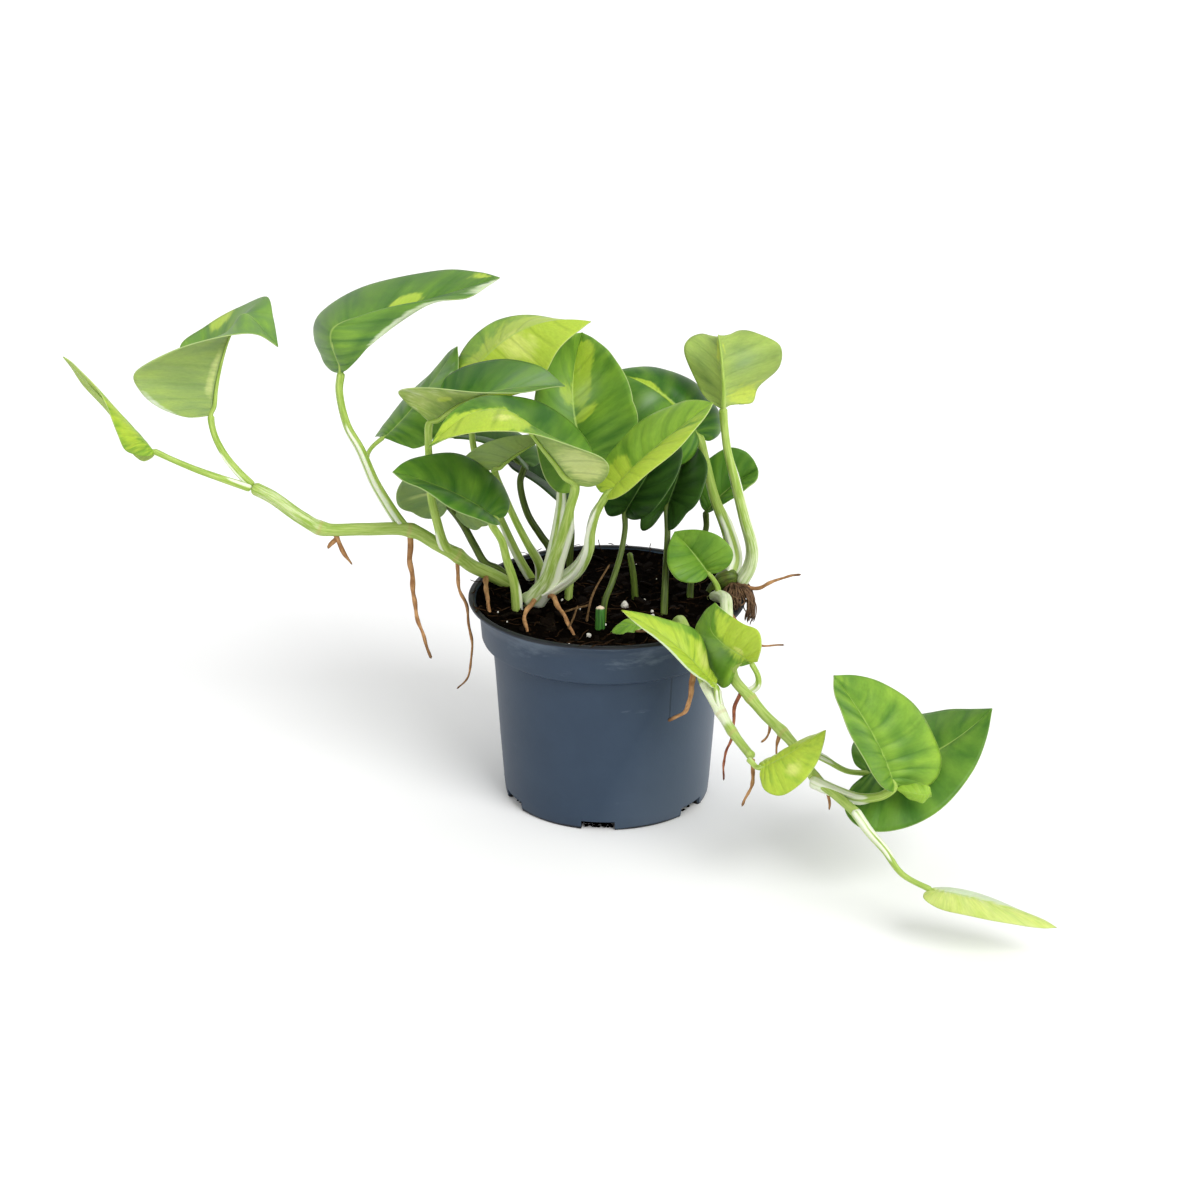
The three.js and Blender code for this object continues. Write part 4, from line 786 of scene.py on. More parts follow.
        tone=(-1.2, 0.6, 0.6), waxy=0.35, quilt=0, grooved=0, sheath=(0.6, 0.6), pale=0.4,
        patches=[("papery", -0.5, 0.5, 0.6, 0.35, 1.1), ("lime", 0.6, 0.6, 0.4, 0.3, 0.3)],
    ),
}
for name, look in LOOKS.items():
    LEAVES[name].update(look)


# Modelling helpers, all in millimetres

def unit(vectors):
    """The same directions, each one long"""
    return vectors / np.linalg.norm(vectors, axis=-1, keepdims=True)


def between(table, at):
    """The rows of a table read between its entries on a smooth curve"""
    table = np.array(table, float)
    low = np.clip(at.astype(int), 0, len(table) - 2)
    part = (at - low)[..., None]
    table = np.concatenate([[2 * table[0] - table[1]], table, [2 * table[-1] - table[-2]]])
    before, start, end, after = (table[low + i] for i in range(4))
    return start + part / 2 * (end - before + part * (2 * before - 5 * start + 4 * end - after
                                                      + part * (3 * (start - end) + after - before)))


def smooth_route(points, step):
    """Evenly spaced places on a centripetal curve through the points"""
    points = np.array(points, float)
    ends = [2 * points[0] - points[1], *points, 2 * points[-1] - points[-2]]
    places = []
    for a, b, c, d in zip(ends, ends[1:], ends[2:], ends[3:]):
        t1 = np.linalg.norm(b - a) ** 0.5
        t2 = t1 + np.linalg.norm(c - b) ** 0.5
        t3 = t2 + np.linalg.norm(d - c) ** 0.5
        for t in np.linspace(t1, t2, 24, endpoint=False):
            ab = a + (b - a) * t / t1
            bc = b + (c - b) * (t - t1) / (t2 - t1)
            cd = c + (d - c) * (t - t2) / (t3 - t2)
            abc = ab + (bc - ab) * t / t2
            bcd = bc + (cd - bc) * (t - t1) / (t3 - t1)
            places.append(abc + (bcd - abc) * (t - t1) / (t2 - t1))
    places = np.array(places + [points[-1]])
    run = np.concatenate([[0], np.cumsum(np.linalg.norm(np.diff(places, axis=0), axis=1))])
    stops = np.linspace(0, run[-1], max(3, round(run[-1] / step) + 1))
    return np.stack([np.interp(stops, run, places[:, i]) for i in range(3)], axis=1), stops


def select_only(pieces):
    """Select these pieces, and make the first of them the active one"""
    bpy.ops.object.select_all(action="DESELECT")
    for piece in pieces:
        piece.select_set(True)
    bpy.context.view_layer.objects.active = pieces[0]


def lay(name, surface, **marks):
    """A grid primitive with its vertices laid on a surface of rows and columns of places, and the
    marks that the material reads there; rows and edges that meet are joined"""
    rows, columns = surface.shape[:2]
    bpy.ops.object.select_all(action="DESELECT")
    bpy.ops.mesh.primitive_grid_add(x_subdivisions=columns - 1, y_subdivisions=rows - 1)
    piece = bpy.context.object
    piece.name = name
    piece.data.vertices.foreach_set("co", (surface * MM).ravel())
    for mark, values in marks.items():
        kind = "FLOAT_VECTOR" if values.ndim == 3 else "FLOAT"
        layer = piece.data.attributes.new(mark, kind, "POINT")
        layer.data.foreach_set("vector" if values.ndim == 3 else "value", values.astype(float).ravel())
    bpy.ops.object.mode_set(mode="EDIT")
    bpy.ops.mesh.select_all(action="SELECT")
    bpy.ops.mesh.remove_doubles(threshold=1e-6)
    bpy.ops.object.mode_set(mode="OBJECT")
    bpy.ops.object.shade_smooth()
    return piece


def tube(name, centre, run, radius, sides, facing=(0.3, 0.2, 1), section=None, marks=None):
    """A round rod along its centre line with both ends rounded. The section scales the radius for
    each turn round the rod, measured from the side that faces where facing says at the far end."""
    ahead = unit(np.gradient(centre, axis=0))
    start = np.array(facing, float)
    across = np.zeros_like(centre)
    across[-1] = unit(start - ahead[-1] * (start @ ahead[-1]))
    for i in range(len(centre) - 2, -1, -1):
        across[i] = unit(across[i + 1] - ahead[i] * (across[i + 1] @ ahead[i]))
    beside = np.cross(ahead, across)
    turn = np.linspace(-math.pi, math.pi, sides + 1)
    near_end = np.minimum(run, run[-1] - run) / np.maximum(radius, 0.1)
    cap = np.sqrt(np.clip(1 - (1 - np.clip(near_end, 0, 1)) ** 2, 0, 1))
    scale = np.ones((len(run), sides + 1))
    if section is not None:
        scale = section(turn[None], run[:, None] / run[-1])
    reach = (radius * cap)[:, None] * scale
    surface = centre[:, None] + reach[..., None] * (np.cos(turn)[None, :, None] * across[:, None]
                                                   + np.sin(turn)[None, :, None] * beside[:, None])
    distance = np.broadcast_to(run[:, None], reach.shape)
    skin = np.stack([radius[:, None] * np.cos(turn), radius[:, None] * np.sin(turn), distance], axis=-1)
    if marks is None:
        marks = np.zeros(reach.shape + (3,))
    return lay(name, surface, skin=skin, marks=marks)


def joined(name, pieces):
    """Several pieces as one"""
    select_only(pieces)
    if len(pieces) > 1:
        bpy.ops.object.join()
    pieces[0].name = name
    return pieces[0]


def fit(piece, node, *materials):
    """The piece stands for a CAD node and in these materials"""
    for one in materials:
        piece.data.materials.append(one)
    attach(piece, "root")
    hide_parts(node)


def apply_modifiers(piece):
    """Turn a piece's modifiers into its own mesh"""
    select_only([piece])
    for modifier in list(piece.modifiers):
        bpy.ops.object.modifier_apply(modifier=modifier.name)


# Leaves

def midrib(leaf, s):
    """Point and direction along the midrib, from 0 at the base to 1 at the tip"""
    if "midrib" in leaf:
        points = [leaf["base"], *leaf["midrib"]]
        point, before, after = (between(points, np.clip(s + step, 0, 1) * (len(points) - 1))
                                for step in (0, -0.0001, 0.0001))
        return point, unit(after - before)
    base, mid, tip = (np.array(leaf[end], float) for end in ("base", "mid", "tip"))
    control = 2 * mid - (base + tip) / 2
    s = np.asarray(s, float)[..., None]
    point = (1 - s) ** 2 * base + 2 * s * (1 - s) * control + s ** 2 * tip
    return point, unit((1 - s) * (control - base) + s * (tip - control))


def widest(leaf):
    """The outermost points of the left and the right half"""
    return (np.array(leaf[side] if side in leaf else leaf[side + "_margin"][3], float)
            for side in ("left", "right"))


def blade_frame(leaf, s):
    """Point, forward, side and up along the midrib of a blade"""
    s = np.asarray(s, float)
    point, forward = midrib(leaf, s)
    home = midrib(leaf, np.array(WIDEST))[1]
    left, right = widest(leaf)
    span = right - left
    across = unit(span - home * (span @ home))
    side = unit(across - forward * (forward @ across)[..., None])
    turn = math.radians(leaf.get("twist", 0)) * (s[..., None] - WIDEST)
    side = side * np.cos(turn) + np.cross(forward, side) * np.sin(turn)
    return point, forward, side, np.cross(side, forward)


def drawn_surface(leaf, across, along):
    """A blade whose midrib and margins are drawn: each row runs straight from the midrib to the
    margin, puffed up by the arch"""
    middle, forward = midrib(leaf, along ** 2)
    margins = [between([leaf["base"], *leaf[side], leaf["midrib"][-1]], along * (len(OUTLINE) - 1))
               for side in ("left_margin", "right_margin")]
    out = np.where(across[..., None] < 0, *margins) - middle
    above = np.cross(out, forward)
    above = above / np.maximum(np.linalg.norm(above, axis=-1, keepdims=True), 1e-6)
    above = above * np.sign(across)[..., None]
    far = np.abs(across)
    puff = leaf["arch"] * np.linalg.norm(out, axis=-1) * 4 * far * (1 - far)
    return middle + out * far[..., None] + above * puff[..., None]


def blade_surface(leaf, across, along):
    """Places on a blade: across from -1 at the left margin to 1 at the right, along from 0 at the
    base to 1 at the tip, where a row sweeps out from the midrib as the side veins do"""
    if "midrib" in leaf:
        return drawn_surface(leaf, across, along)
    home, forward, side, up = blade_frame(leaf, WIDEST)
    fold = leaf.get("fold", (1, 1, 1))
    margin, reach = np.moveaxis(between(OUTLINE, along * (len(OUTLINE) - 1)), -1, 0)
    margin = np.where(margin < 0, margin * leaf.get("lobe", 1), margin)
    far = np.abs(across)
    root = along ** 2
    s = root + (margin - root) * far ** 1.5
    point, ahead, beside, above = blade_frame(leaf, s)
    places = np.zeros(s.shape + (3,))
    for edge, tip_fold, here in ((leaf["left"], fold[1], across < 0),
                                 (leaf["right"], fold[2], across >= 0)):
        reach_out = np.array(edge, float) - home
        x, y, z = reach_out @ forward, reach_out @ side, reach_out @ up
        turn = np.where(s > WIDEST, 1 + (tip_fold - 1) * (s - WIDEST) / (1 - WIDEST),
                        1 + (fold[0] - 1) * (WIDEST - s) / WIDEST)
        stand = math.atan2(z, abs(y)) * turn
        spread = math.hypot(y, z) * far
        puff = leaf["arch"] * np.linalg.norm(reach_out) * 4 * far * (1 - far)
        out = (point + ahead * (x * far * reach)[..., None]
               + beside * (math.copysign(1, y) * np.cos(stand) * spread * reach)[..., None]
               + above * ((np.sin(stand) * spread + puff) * reach)[..., None])
        places = np.where(here[..., None], out, places)
    return places


def half_widths(leaf):
    """How wide the left and the right half are at their widest"""
    home = blade_frame(leaf, WIDEST)[0]
    return [np.linalg.norm(edge - home) for edge in widest(leaf)]


def vein_phase(across, along, seed):
    """Grows by one from each side vein to the next"""
    return SIDE_VEINS * along ** 0.85 + np.where(across < 0, 0.0, 0.45) + 0.13 * seed


def leaf_marks(leaf, across, along):
    """The tone of each place (deep, lime, cream) and its finish (painted sheen, painted shade in the
    vein grooves with painted light between them, papery): what the whole leaf has, and its patches"""
    marks = np.zeros(across.shape + (len(MARKS),))
    marks += (*leaf.get("tone", (0.0, 0.0, 0.0)), leaf.get("waxy", 0), leaf.get("grooved", 0.2), 0)
    for part, u, t, wide, long, amount in leaf.get("patches", []):
        off = ((across - u) / wide) ** 2 + ((along - t) / long) ** 2
        marks[..., MARKS.index(part)] += amount * np.exp(-off)
    return marks[..., :3], marks[..., 3:]


def leaf_blade(name, leaf, seed):
    """The blade: its surface with a grooved midrib, sunken side veins, a wavy margin and soft dents,
    given its thickness"""
    rng = np.random.default_rng(seed)
    u = np.linspace(-1, 1, BLADE["columns"] + 1)
    across, along = np.meshgrid(np.sign(u) * np.abs(u) ** 1.15, np.linspace(0, 1, BLADE["rows"] + 1))
    surface = blade_surface(leaf, across, along)
    facing = np.cross(np.gradient(surface, axis=1), np.gradient(surface, axis=0))
    size = np.linalg.norm(facing, axis=-1, keepdims=True)
    facing = facing / np.maximum(size, 1e-6)
    left, right = half_widths(leaf)
    reach = between(OUTLINE, along * (len(OUTLINE) - 1))[..., 1]
    width = np.where(across < 0, left, right)
    length = np.linalg.norm(np.diff(surface[:, BLADE["columns"] // 2], axis=0), axis=1).sum()
    off_midrib = np.abs(across) * width * reach
    phase = vein_phase(across, along, seed)
    growing = np.clip(reach * 1.6, 0, 1) * np.clip(along * 8, 0, 1)
    groove = -BLADE["groove"] * np.exp(-(off_midrib / 1.3) ** 2) * (1 - 0.7 * along)
    pillow = (np.abs(np.sin(math.pi * phase)) ** 0.7 - 0.65) * (1 - np.abs(across) ** 6)
    pillow = pillow * np.clip(off_midrib / 6, 0, 1)
    other_half = (across > 0) * 2.1
    wave = sum(rng.uniform(0.2, 0.5) * np.sin(k * 2 * math.pi * along + rng.uniform(0, 6) + other_half)
               for k in (1.3, 2.2, 3.4)) * np.abs(across) ** 3
    dents = sum(np.sin(a * across + b * along * 4 + c) for a, b, c in rng.uniform(1.5, 4, (4, 3))) / 4
    lift = (groove + leaf.get("quilt", 0.22) * pillow + wave + 0.5 * dents
            * np.clip(off_midrib / 8, 0, 1)) * growing
    surface = surface + facing * lift[..., None]
    place = np.stack([across, along, phase], axis=-1)
    grain = np.stack([across * width, along * length, np.full(across.shape, 37.0 * seed)], axis=-1)
    tone, finish = leaf_marks(leaf, across, along)
    blade = lay(name, surface, blade=place, grain=grain, tone=tone, finish=finish)
    # old leaves take the darker skins, which are partly painted shade
    for skin in (OLD_SHADED_UPPER, OLD_SHADED_UNDER) if leaf.get("old") else (UPPER, UNDER):
        blade.data.materials.append(skin)
    solid = blade.modifiers.new("thickness", "SOLIDIFY")
    solid.thickness = BLADE["thickness"] * MM
    solid.offset = 0
    solid.material_offset = 1
    solid.material_offset_rim = 1
    apply_modifiers(blade)
    return blade


def leaf_petiole(name, leaf):
    """The leaf stalk: grooved above, with the papery wings of its sheath towards the foot, a thicker
    joint under the blade, and the midrib that it runs on as under the blade"""
    run_on = np.linspace(0.06, 0.82, 9)
    point, _, _, up = blade_frame(leaf, run_on)
    thick, thin = leaf["radius"]
    sink = 0.25 + thin * 0.75 * (1 - run_on)
    under = point - up * sink[:, None]
    foot, after = (np.array(place, float) for place in leaf["petiole"][:2])
    stalk = [foot - unit(after - foot) * FOOT_IN_STEM] + list(leaf["petiole"]) + [leaf["base"]]
    run = smooth_route(stalk, 1.0)[1]
    centre, run_all = smooth_route(stalk + list(under), 1.0)
    stalk_share = run[-1] / run_all[-1]
    part = run_all / run_all[-1]
    before = np.clip(part / stalk_share, 0, 1)
    beyond = np.clip((part - stalk_share) / (1 - stalk_share), 0, 1)
    radius = thick + (thin - thick) * before ** 0.7
    radius = radius * (1 + 0.16 * np.exp(-((part - stalk_share) / 0.05) ** 2))
    radius = np.where(beyond > 0, thin * (0.72 - 0.6 * beyond), radius)
    sheath = leaf.get("sheath", (0.4, 0.5))

    def section(turn, at):
        stalk_at = np.clip(at / stalk_share, 0, 1)
        groove = -0.22 * np.exp(-(turn / 0.5) ** 2) * (at < stalk_share)
        reach = sheath[1] * np.clip((sheath[0] - stalk_at) / 0.12, 0, 1)
        wings = reach * np.exp(-((np.abs(turn) - 0.95) / 0.2) ** 2)
        return 1 + groove + wings

    turn = np.linspace(-math.pi, math.pi, PETIOLE_SIDES + 1)[None]
    stalk_at = np.clip(part / stalk_share, 0, 1)[:, None]
    winged = np.clip((sheath[0] - stalk_at) / 0.1, 0, 1)
    pale = winged * np.exp(-((np.abs(turn) - 0.95) / 0.45) ** 2) + leaf.get("pale", 0.1) * (1 - stalk_at)
    marks = np.stack([pale, np.zeros_like(pale), np.zeros_like(pale)], axis=-1)
    return tube(name, centre, run_all, radius, PETIOLE_SIDES, facing=up[-1], section=section, marks=marks)


# Stems and roots

def vine(name, stem):
    """A stem with a swollen ringed node wherever a leaf grows"""
    centre, run = smooth_route(stem["path"], 0.8)
    part = run / run[-1]
    first, last = stem["radius"]
    radius = first + (last - first) * part
    ring = np.zeros_like(run)
    for index in stem.get("nodes", []):
        at = run[np.argmin(np.linalg.norm(centre - np.array(stem["path"][index], float), axis=1))]
        radius = radius * (1 + 0.2 * np.exp(-((run - at) / 2.6) ** 2)
                           - 0.06 * np.exp(-((run - at - 1.2) / 0.5) ** 2))
        ring = ring + 0.75 * np.exp(-((run - at - 1.2) / 0.45) ** 2)
    pale = np.zeros_like(run)
    for start, end, amount in stem.get("papery", []):
        low, high = (run[np.argmin(np.linalg.norm(centre - np.array(stem["path"][i], float), axis=1))]
                     for i in (start, end))
        inside = np.clip((run - low) / 1.5, 0, 1) * np.clip((high - run) / 5, 0, 1)
        pale = pale + amount * inside
        radius = radius * (1 + 0.12 * inside)
    if stem.get("cut"):
        pale = pale + np.clip((run - run[-1] + 1.8) / 0.8, 0, 1)
    wide = np.ones((1, STEM_SIDES + 1))
    pale, ring = pale[:, None] * wide, np.clip(ring, 0, 1)[:, None] * wide
    marks = np.stack([pale, ring, np.zeros_like(pale)], axis=-1)

    def section(turn, at):
        return 1 + 0.04 * np.cos(3 * turn + 4 * at) + 0.025 * np.cos(7 * turn)

    return tube(name, centre, run, radius, STEM_SIDES, section=section, marks=marks)


def root_strand(name, path, radius, seed, tip=0.45):
    """An aerial root: kinked and knobbly, tapering to a darker tip"""
    rng = np.random.default_rng(seed)
    centre, run = smooth_route(path, 0.9)
    part = run / run[-1]
    wander = np.stack([sum(rng.uniform(0.05, 0.22) * np.sin(run / rng.uniform(1.5, 5) + rng.uniform(0, 6))
                           for _ in range(3)) for _ in range(3)], axis=1)
    centre = centre + wander * np.clip(part * 6, 0, 1)[:, None]
    knobs = sum(rng.uniform(0.03, 0.1) * np.sin(run / rng.uniform(0.7, 3) + rng.uniform(0, 6))
                for _ in range(4))
    width = radius * (1 + (tip - 1) * part) * (1 + knobs)
    wide = np.ones((1, ROOT_SIDES + 1))
    dark = np.clip((part - 0.82) / 0.18, 0, 1)[:, None] * 0.7 * wide
    marks = np.stack([0 * dark, dark, 0 * dark], axis=-1)

    def section(turn, at):
        return 1 + 0.07 * np.cos(3 * turn + 9 * at + seed) + 0.05 * np.cos(5 * turn - 14 * at)

    return tube(name, centre, run, width, ROOT_SIDES, section=section, marks=marks)


# Pot

def wall_profile():
    """The pot's section from the edge of its foot, up the outside, over the rim and down the inside"""
    foot, neck, step, collar = (POT[key] for key in ("foot", "neck", "collar_foot", "collar"))
    rim, height, wall, floor = (POT[key] for key in ("rim", "height", "wall", "floor"))
    outside = [(foot - 1.2, 0), (foot - 0.35, 0.35), (foot, 1.2), (foot + 0.6, 7), (foot + 2.2, 30),
               (neck - 1, 60), (neck, step - 2.4), (neck + 0.9, step - 1.5), (collar - 2.6, step - 0.5),
               (collar - 1.3, step + 0.3), (collar - 0.75, step + 1.6), (collar, 86), (collar + 0.6, 88),
               (collar + 1.9, 90.4), (rim - 1.3, 92.6), (rim - 0.25, 93.4), (rim, 93.9),
               (rim, height - 0.5), (rim - 0.2, height - 0.15), (rim - 0.6, height),
               (rim - 2.1, height), (rim - 2.5, height - 0.3)]
    inside = [(collar - wall + 1.8, 90.4), (collar - wall, 86.5), (collar - wall - 0.8, step + 1.8),
              (neck - wall, step - 1.5), (foot - wall + 0.5, 8), (foot - wall, floor + 0.8),
              (foot - wall - 0.8, floor)]
    return outside + inside


def turned(name, profile, sides):
    """A circle extruded ring by ring through a profile of radii and heights, and closed at both ends"""
    bpy.ops.object.select_all(action="DESELECT")
    (first, low), *rest = profile
    bpy.ops.mesh.primitive_circle_add(vertices=sides, radius=first * MM, location=(0, 0, low * MM))
    piece = bpy.context.object
    piece.name = name
    bpy.ops.object.transform_apply(location=True, rotation=False, scale=False)
    bpy.ops.object.mode_set(mode="EDIT")
    bpy.ops.mesh.select_all(action="SELECT")
    radius, height = first, low
    for wide, high in rest:
        bpy.ops.mesh.extrude_region_move(TRANSFORM_OT_translate={"value": (0, 0, (high - height) * MM)})
        bpy.ops.transform.resize(value=(wide / radius, wide / radius, 1), center_override=(0, 0, 0))
        radius, height = wide, high
    bpy.ops.mesh.edge_face_add()
    bpy.ops.mesh.select_all(action="DESELECT")
    bpy.ops.mesh.select_mode(type="EDGE")
    bpy.ops.mesh.select_non_manifold()
    bpy.ops.mesh.edge_face_add()
    bpy.ops.mesh.select_all(action="SELECT")
    bpy.ops.mesh.normals_make_consistent(inside=False)
    bpy.ops.object.mode_set(mode="OBJECT")
    return piece


def box(name, low, high, turn=0):
    """A box between two corners, turned about the middle of the pot"""
    middle = [(a + b) / 2 for a, b in zip(low, high)]
    size = [b - a for a, b in zip(low, high)]
    bpy.ops.object.select_all(action="DESELECT")
    bpy.ops.mesh.primitive_cube_add(size=MM, location=[v * MM for v in middle], scale=size)
    piece = bpy.context.object
    piece.name = name
    bpy.ops.object.transform_apply(location=True, rotation=False, scale=True)
    piece.rotation_euler.z = turn
    bpy.ops.object.transform_apply(location=False, rotation=True, scale=False)
    return piece


def cut(piece, other, operation):
    """Joins or cuts a piece with another, which it uses up"""
    change = piece.modifiers.new(operation.lower(), "BOOLEAN")
    change.operation = operation
    change.solver = "EXACT"
    change.object = other
    apply_modifiers(piece)
    bpy.data.objects.remove(other)


def pot():
    """The pot's shell with its drain channels, and a drain hole above each"""
    shell = turned("pot_shell", wall_profile(), POT["sides"])
    house = CHANNEL["height"] + CHANNEL["wall"]
    for i in range(CHANNEL["count"]):
        turn = math.radians(CHANNEL["turn"] + 360 * i / CHANNEL["count"])
        half = CHANNEL["width"] / 2
        outer = half + CHANNEL["wall"]
        cut(shell, box("housing", (CHANNEL["inner"] - CHANNEL["wall"], -outer, 0.5),
                       (POT["foot"] - 0.8, outer, house), turn), "UNION")
        cut(shell, box("bore", (CHANNEL["inner"], -half, -5), (POT["rim"], half, CHANNEL["height"]), turn),
            "DIFFERENCE")
        bpy.ops.object.select_all(action="DESELECT")
        bpy.ops.mesh.primitive_cylinder_add(vertices=32, radius=CHANNEL["hole"] * MM, depth=2 * house * MM,
                                            location=(CHANNEL["hole_at"] * math.cos(turn) * MM,
                                                      CHANNEL["hole_at"] * math.sin(turn) * MM, house * MM))
        drain = bpy.context.object
        bpy.ops.object.transform_apply(location=True, rotation=False, scale=False)
        cut(shell, drain, "DIFFERENCE")
    select_only([shell])
    bpy.ops.object.shade_smooth_by_angle(angle=math.radians(32))
    fit(shell, "pot", POT_PLASTIC)


# Soil

def ground(x, y):
    """The height of the crumbly top of the soil"""
    where = Vector((x, y, 0))
    clumps = noise.fractal(where / 14, 1.0, 2.0, 3) * 1.5
    crumbs = noise.fractal(where / 3.2 + Vector((7, 3, 1)), 1.0, 2.2, 3) * 1.2
    edge = math.hypot(x, y) / SOIL["edge"]
    return SOIL["top"] + 0.4 + (clumps + crumbs * 0.8) * (1 - 0.6 * edge ** 10) + 2.6 * edge ** 10


def soil():
    """The mix that fills the pot"""
    turn = np.linspace(-math.pi, math.pi, SOIL["around"] + 1)
    top = [np.zeros((len(turn), 3))]
    top[0][:, 2] = ground(0, 0)
    for ring in range(1, SOIL["rings"] + 1):
        radius = SOIL["edge"] * (ring / SOIL["rings"]) ** 0.9
        x, y = radius * np.cos(turn), radius * np.sin(turn)
        top.append(np.stack([x, y, [ground(*place) for place in zip(x, y)]], axis=1))
    skirt = [(POT["collar"] - 1.8, 89.5), (POT["collar"] - 2.9, 77.5), (POT["neck"] - 2.1, 71.5),
             (POT["foot"] - 1.6, 9), (POT["foot"] - 4, SOIL["foot"]), (0, SOIL["foot"])]
    sides = [np.stack([r * np.cos(turn), r * np.sin(turn), np.full(len(turn), z)], axis=1)
             for r, z in skirt]
    surface = np.array(list(reversed(sides)) + list(reversed(top)))
    for ring in surface:
        ring[-1] = ring[0]
    fit(lay("soil_mix", surface), "soil", PEAT)


def scattered(name, prototype, places, finish):
    """Copies of a small prototype joined in one piece of the soil, each with its own place, turn and
    size"""
    base = np.array([corner.co for corner in prototype.data.vertices])
    copies = []
    for place, turn, size in places:
        copy = prototype.copy()
        copy.data = prototype.data.copy()
        bpy.context.collection.objects.link(copy)
        copy.data.vertices.foreach_set("co", ((base * size) @ turn.T + place).ravel() * MM)
        copies.append(copy)
    bpy.data.objects.remove(prototype)
    fit(joined(name, copies), "soil", finish)


def any_turn(rng, lean):
    """Any turn about the upright and any lean from it up to the given one, as a matrix"""
    a, b, c = rng.uniform(0, 2 * math.pi), rng.uniform(-lean, lean), rng.uniform(-lean, lean)
    about_z = np.array([[math.cos(a), -math.sin(a), 0], [math.sin(a), math.cos(a), 0], [0, 0, 1]])
    about_x = np.array([[1, 0, 0], [0, math.cos(b), -math.sin(b)], [0, math.sin(b), math.cos(b)]])
    about_y = np.array([[math.cos(c), 0, math.sin(c)], [0, 1, 0], [-math.sin(c), 0, math.cos(c)]])
    return about_z @ about_x @ about_y


def on_soil(rng):
    """Any place on the soil, a little way in from its edge"""
    radius = SOIL["edge"] * 0.96 * math.sqrt(rng.uniform(0, 1))
    turn = rng.uniform(0, 2 * math.pi)
    x, y = radius * math.cos(turn), radius * math.sin(turn)
    return np.array([x, y, ground(x, y)])


def bark_chips():
    """Flattened splinters of bark, pressed into the top of the mix"""
    rng = np.random.default_rng(SEED["bark"])
    bpy.ops.object.select_all(action="DESELECT")
    bpy.ops.mesh.primitive_cube_add(size=1)
    chip = bpy.context.object
    bpy.ops.object.mode_set(mode="EDIT")
    bpy.ops.mesh.select_all(action="SELECT")
    bpy.ops.mesh.subdivide(number_cuts=2, smoothness=0.6)
    bpy.ops.object.mode_set(mode="OBJECT")
    for corner in chip.data.vertices:
        corner.co += Vector(rng.uniform(-0.09, 0.09, 3))
    places = []
    for _ in range(LOOSE["bark"]):
        long = rng.uniform(1.5, 5.5)
        size = np.array([long, long * rng.uniform(0.3, 0.7), long * rng.uniform(0.12, 0.3)])
        places.append((on_soil(rng) + (0, 0, 0.3), any_turn(rng, 0.5), size))
    scattered("bark_chips", chip, places, BARK)


def perlite():
    """White grains of expanded rock, mostly sunk in the mix; some show in front"""
    rng = np.random.default_rng(SEED["perlite"])
    bpy.ops.object.select_all(action="DESELECT")
    bpy.ops.mesh.primitive_ico_sphere_add(subdivisions=2, radius=0.5)
    grain = bpy.context.object
    for corner in grain.data.vertices:
        corner.co *= 1 + 0.35 * noise.noise(corner.co * 3.1)
    places = [(on_soil(rng) + (0, 0, 0.2), any_turn(rng, 3),
               rng.uniform(0.6, 1.3) * rng.uniform(0.7, 1.2, 3)) for _ in range(LOOSE["perlite"])]
    for x, y, size in SEEN_PERLITE:
        places.append((np.array([x, y, ground(x, y) + size / 3]), any_turn(rng, 3), np.full(3, size)))
    scattered("perlite_grains", grain, places, PERLITE)


def shade_crumbs_in_channels():
    """Dark crumbs of the mix that lie in the drain channels: painted shade inside them"""
    rng = np.random.default_rng(SEED["crumbs"])
    bpy.ops.object.select_all(action="DESELECT")
    bpy.ops.mesh.primitive_ico_sphere_add(subdivisions=1, radius=0.5)
    lump = bpy.context.object
    for corner in lump.data.vertices:
        corner.co *= 1 + 0.4 * noise.noise(corner.co * 2.7)
    places = []
    for i in range(CHANNEL["count"]):
        turn = math.radians(CHANNEL["turn"] + 360 * i / CHANNEL["count"])
        along, across = (math.cos(turn), math.sin(turn), 0), (-math.sin(turn), math.cos(turn), 0)
        for _ in range(LOOSE["crumbs"]):
            wide = rng.uniform(1.2, 2.6)
            place = np.array(along) * rng.uniform(CHANNEL["inner"] + 2, POT["foot"] - 3)
            place = place + np.array(across) * rng.uniform(-6.2, 6.2) + (0, 0, wide * 0.22)
            places.append((place, any_turn(rng, 0.1), np.array([wide, wide * 0.8, wide * 0.4])))
    scattered("shade_crumbs_in_channels", lump, places, PEAT)


def coir_fibres():
    """Loose fibres on the mix, every fourth bent over the rim"""
    rng = np.random.default_rng(SEED["fibres"])
    strands = []
    for i in range(LOOSE["fibres"]):
        middle = on_soil(rng)
        if i % 4 == 0:
            turn = rng.uniform(0, 2 * math.pi)
            middle = np.array([FIBRE_OVER_RIM * math.cos(turn), FIBRE_OVER_RIM * math.sin(turn),
                               POT["height"] + 0.1])
        way = rng.uniform(0, 2 * math.pi)
        half = rng.uniform(2, 7)
        run = np.array([math.cos(way), math.sin(way), 0]) * half
        points = [middle + run * k + (0, 0, rng.uniform(0.1, 1.1)) + rng.uniform(-0.8, 0.8, 3) * (1, 1, 0.4)
                  for k in (-1, -0.4, 0.3, 1)]
        centre, length = smooth_route(points, 1.0)
        centre[:, 2] = [max(z, ground(x, y) + 0.1) if math.hypot(x, y) < SOIL["edge"] else z
                        for x, y, z in centre]
        width = np.full(len(length), rng.uniform(0.12, 0.3))
        strands.append(tube("fibre", centre, length, width, 5))
    fit(joined("coir_fibres", strands), "soil", COIR)


def twigs():
    """Dry twigs that lie and stand in the mix"""
    pieces = []
    for number, path in enumerate(TWIGS):
        pieces.append(root_strand("twig", path, 0.6, SEED["twigs"] + number, tip=0.6))
    fit(joined("dry_twigs", pieces), "soil", TWIG)


# Plant

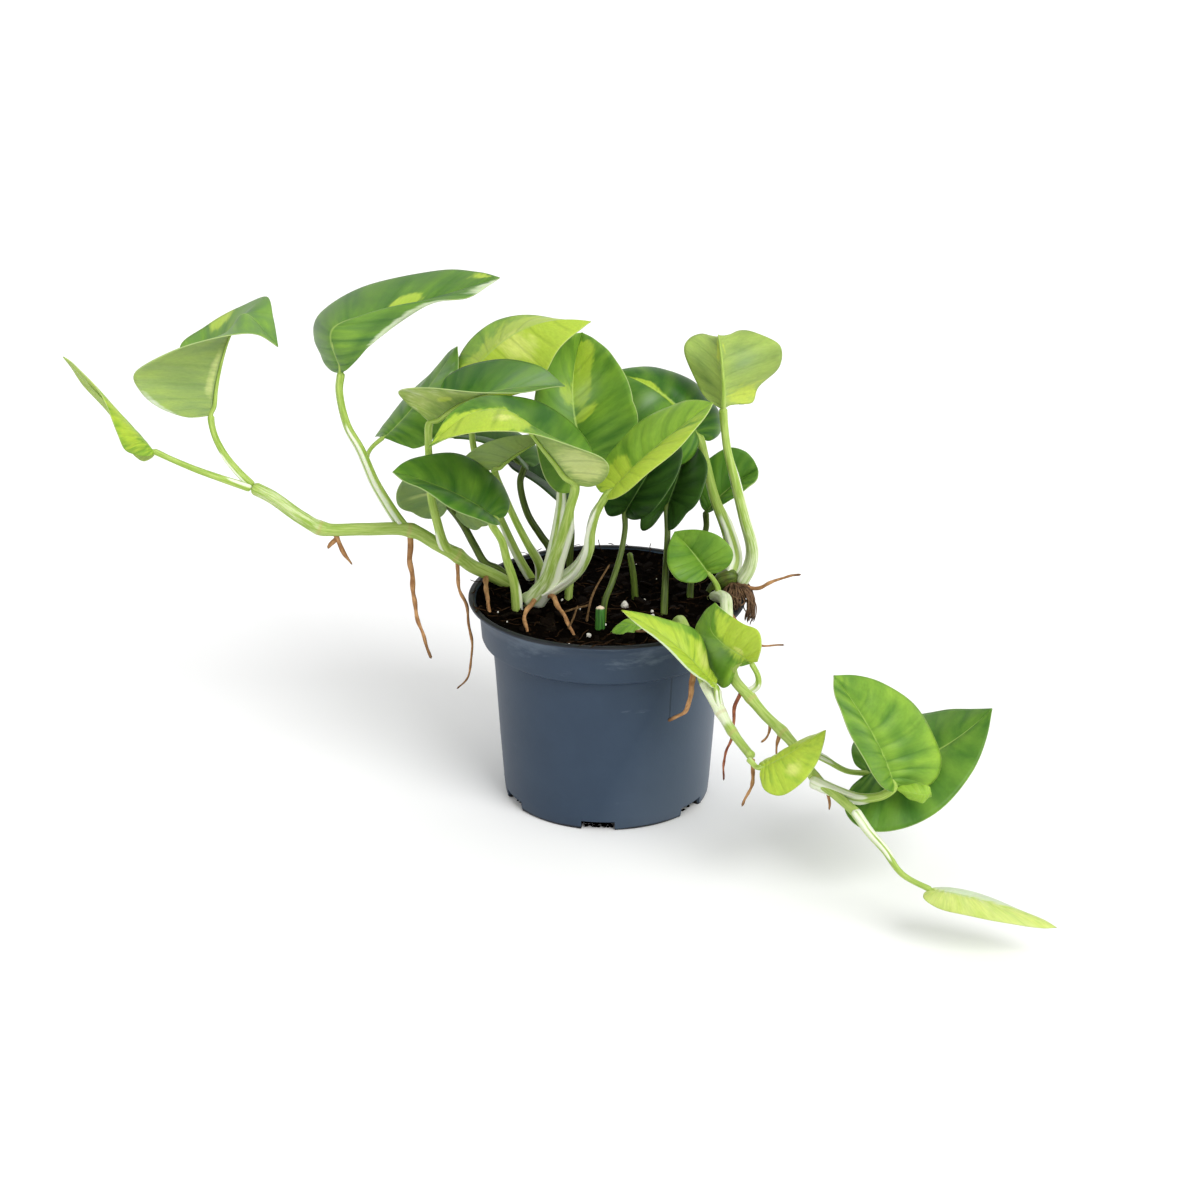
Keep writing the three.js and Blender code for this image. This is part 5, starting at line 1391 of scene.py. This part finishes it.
def plant():
    """Each stem, root and leaf in the place of its CAD node, the sprout, and the curled lobe"""
    for name, stem in STEMS.items():
        fit(vine(name + "_skin", stem), name, stem.get("finish", VINE))
    for number, (name, root) in enumerate(ROOTS.items()):
        strands = [root_strand(name + "_strand", path, root["radius"], 10 * number + i)
                   for i, path in enumerate(root["paths"])]
        rng = np.random.default_rng(number)
        for i, path in enumerate(LOOSE["hairs"] * root.get("hairs", [])):
            path = np.array(path, float)
            path[1:] += rng.normal(0, (1.2, 2.2, 0.5), (len(path) - 1, 3))
            strands.append(root_strand(name + "_hair", path, 0.45, SEED["hairs"] + i))
        fit(joined(name + "_cork", strands), name, root.get("finish", CORK))
    for seed, (name, leaf) in enumerate(LEAVES.items()):
        fit(leaf_blade(name + "_blade", leaf, seed), name)
        fit(leaf_petiole(name + "_petiole", leaf), name, DARK_PETIOLE if leaf.get("shaded") else PETIOLE)
    fit(leaf_blade("sprout_blade", SPROUT, SEED["sprout"]), "sprout")
    fit(leaf_blade("curled_lobe", CURLED_LOBE, SEED["lobe"]), "leaf_vine_quilted")


# Stage

def studio():
    """White paper floor, bright room light and one large soft light from the right and front"""
    bpy.ops.object.select_all(action="DESELECT")
    bpy.ops.mesh.primitive_plane_add(size=12, location=(0, 0, 0))
    floor = bpy.context.object
    floor.name = "studio_floor"
    floor.data.materials.append(FLOOR)
    world = bpy.data.worlds.new("bright_room")
    world.use_nodes = True
    world.node_tree.nodes["Background"].inputs["Color"].default_value = linear("#ffffff")
    world.node_tree.nodes["Background"].inputs["Strength"].default_value = ROOM_LIGHT
    bpy.context.scene.world = world
    key = bpy.data.lights.new("soft_key", "SUN")
    key.energy = KEY_LIGHT
    key.angle = math.radians(KEY_SPREAD)
    lamp = bpy.data.objects.new("soft_key", key)
    lamp.rotation_euler = Vector(KEY_FROM).to_track_quat("Z", "Y").to_euler()
    bpy.context.scene.collection.objects.link(lamp)


def photo_camera():
    """A long lens 1.3 m away, looking 22 degrees down on the pot"""
    lens = bpy.data.cameras.new("photo_camera")
    lens.lens = CAMERA["lens"]
    lens.sensor_width = CAMERA["sensor"]
    lens.clip_end = 50
    camera = bpy.data.objects.new("photo_camera", lens)
    down = math.radians(CAMERA["down"])
    back = Vector((0, -math.cos(down), math.sin(down))) * CAMERA["away"]
    camera.location = (Vector(CAMERA["aim"]) + back) * MM
    camera.rotation_euler = (math.pi / 2 - down, 0, 0)
    bpy.context.scene.collection.objects.link(camera)
    bpy.context.scene.camera = camera
    bpy.context.scene.view_settings.view_transform = "Standard"


photo_camera()
studio()
pot()
soil()
bark_chips()
perlite()
shade_crumbs_in_channels()
coir_fibres()
twigs()
plant()
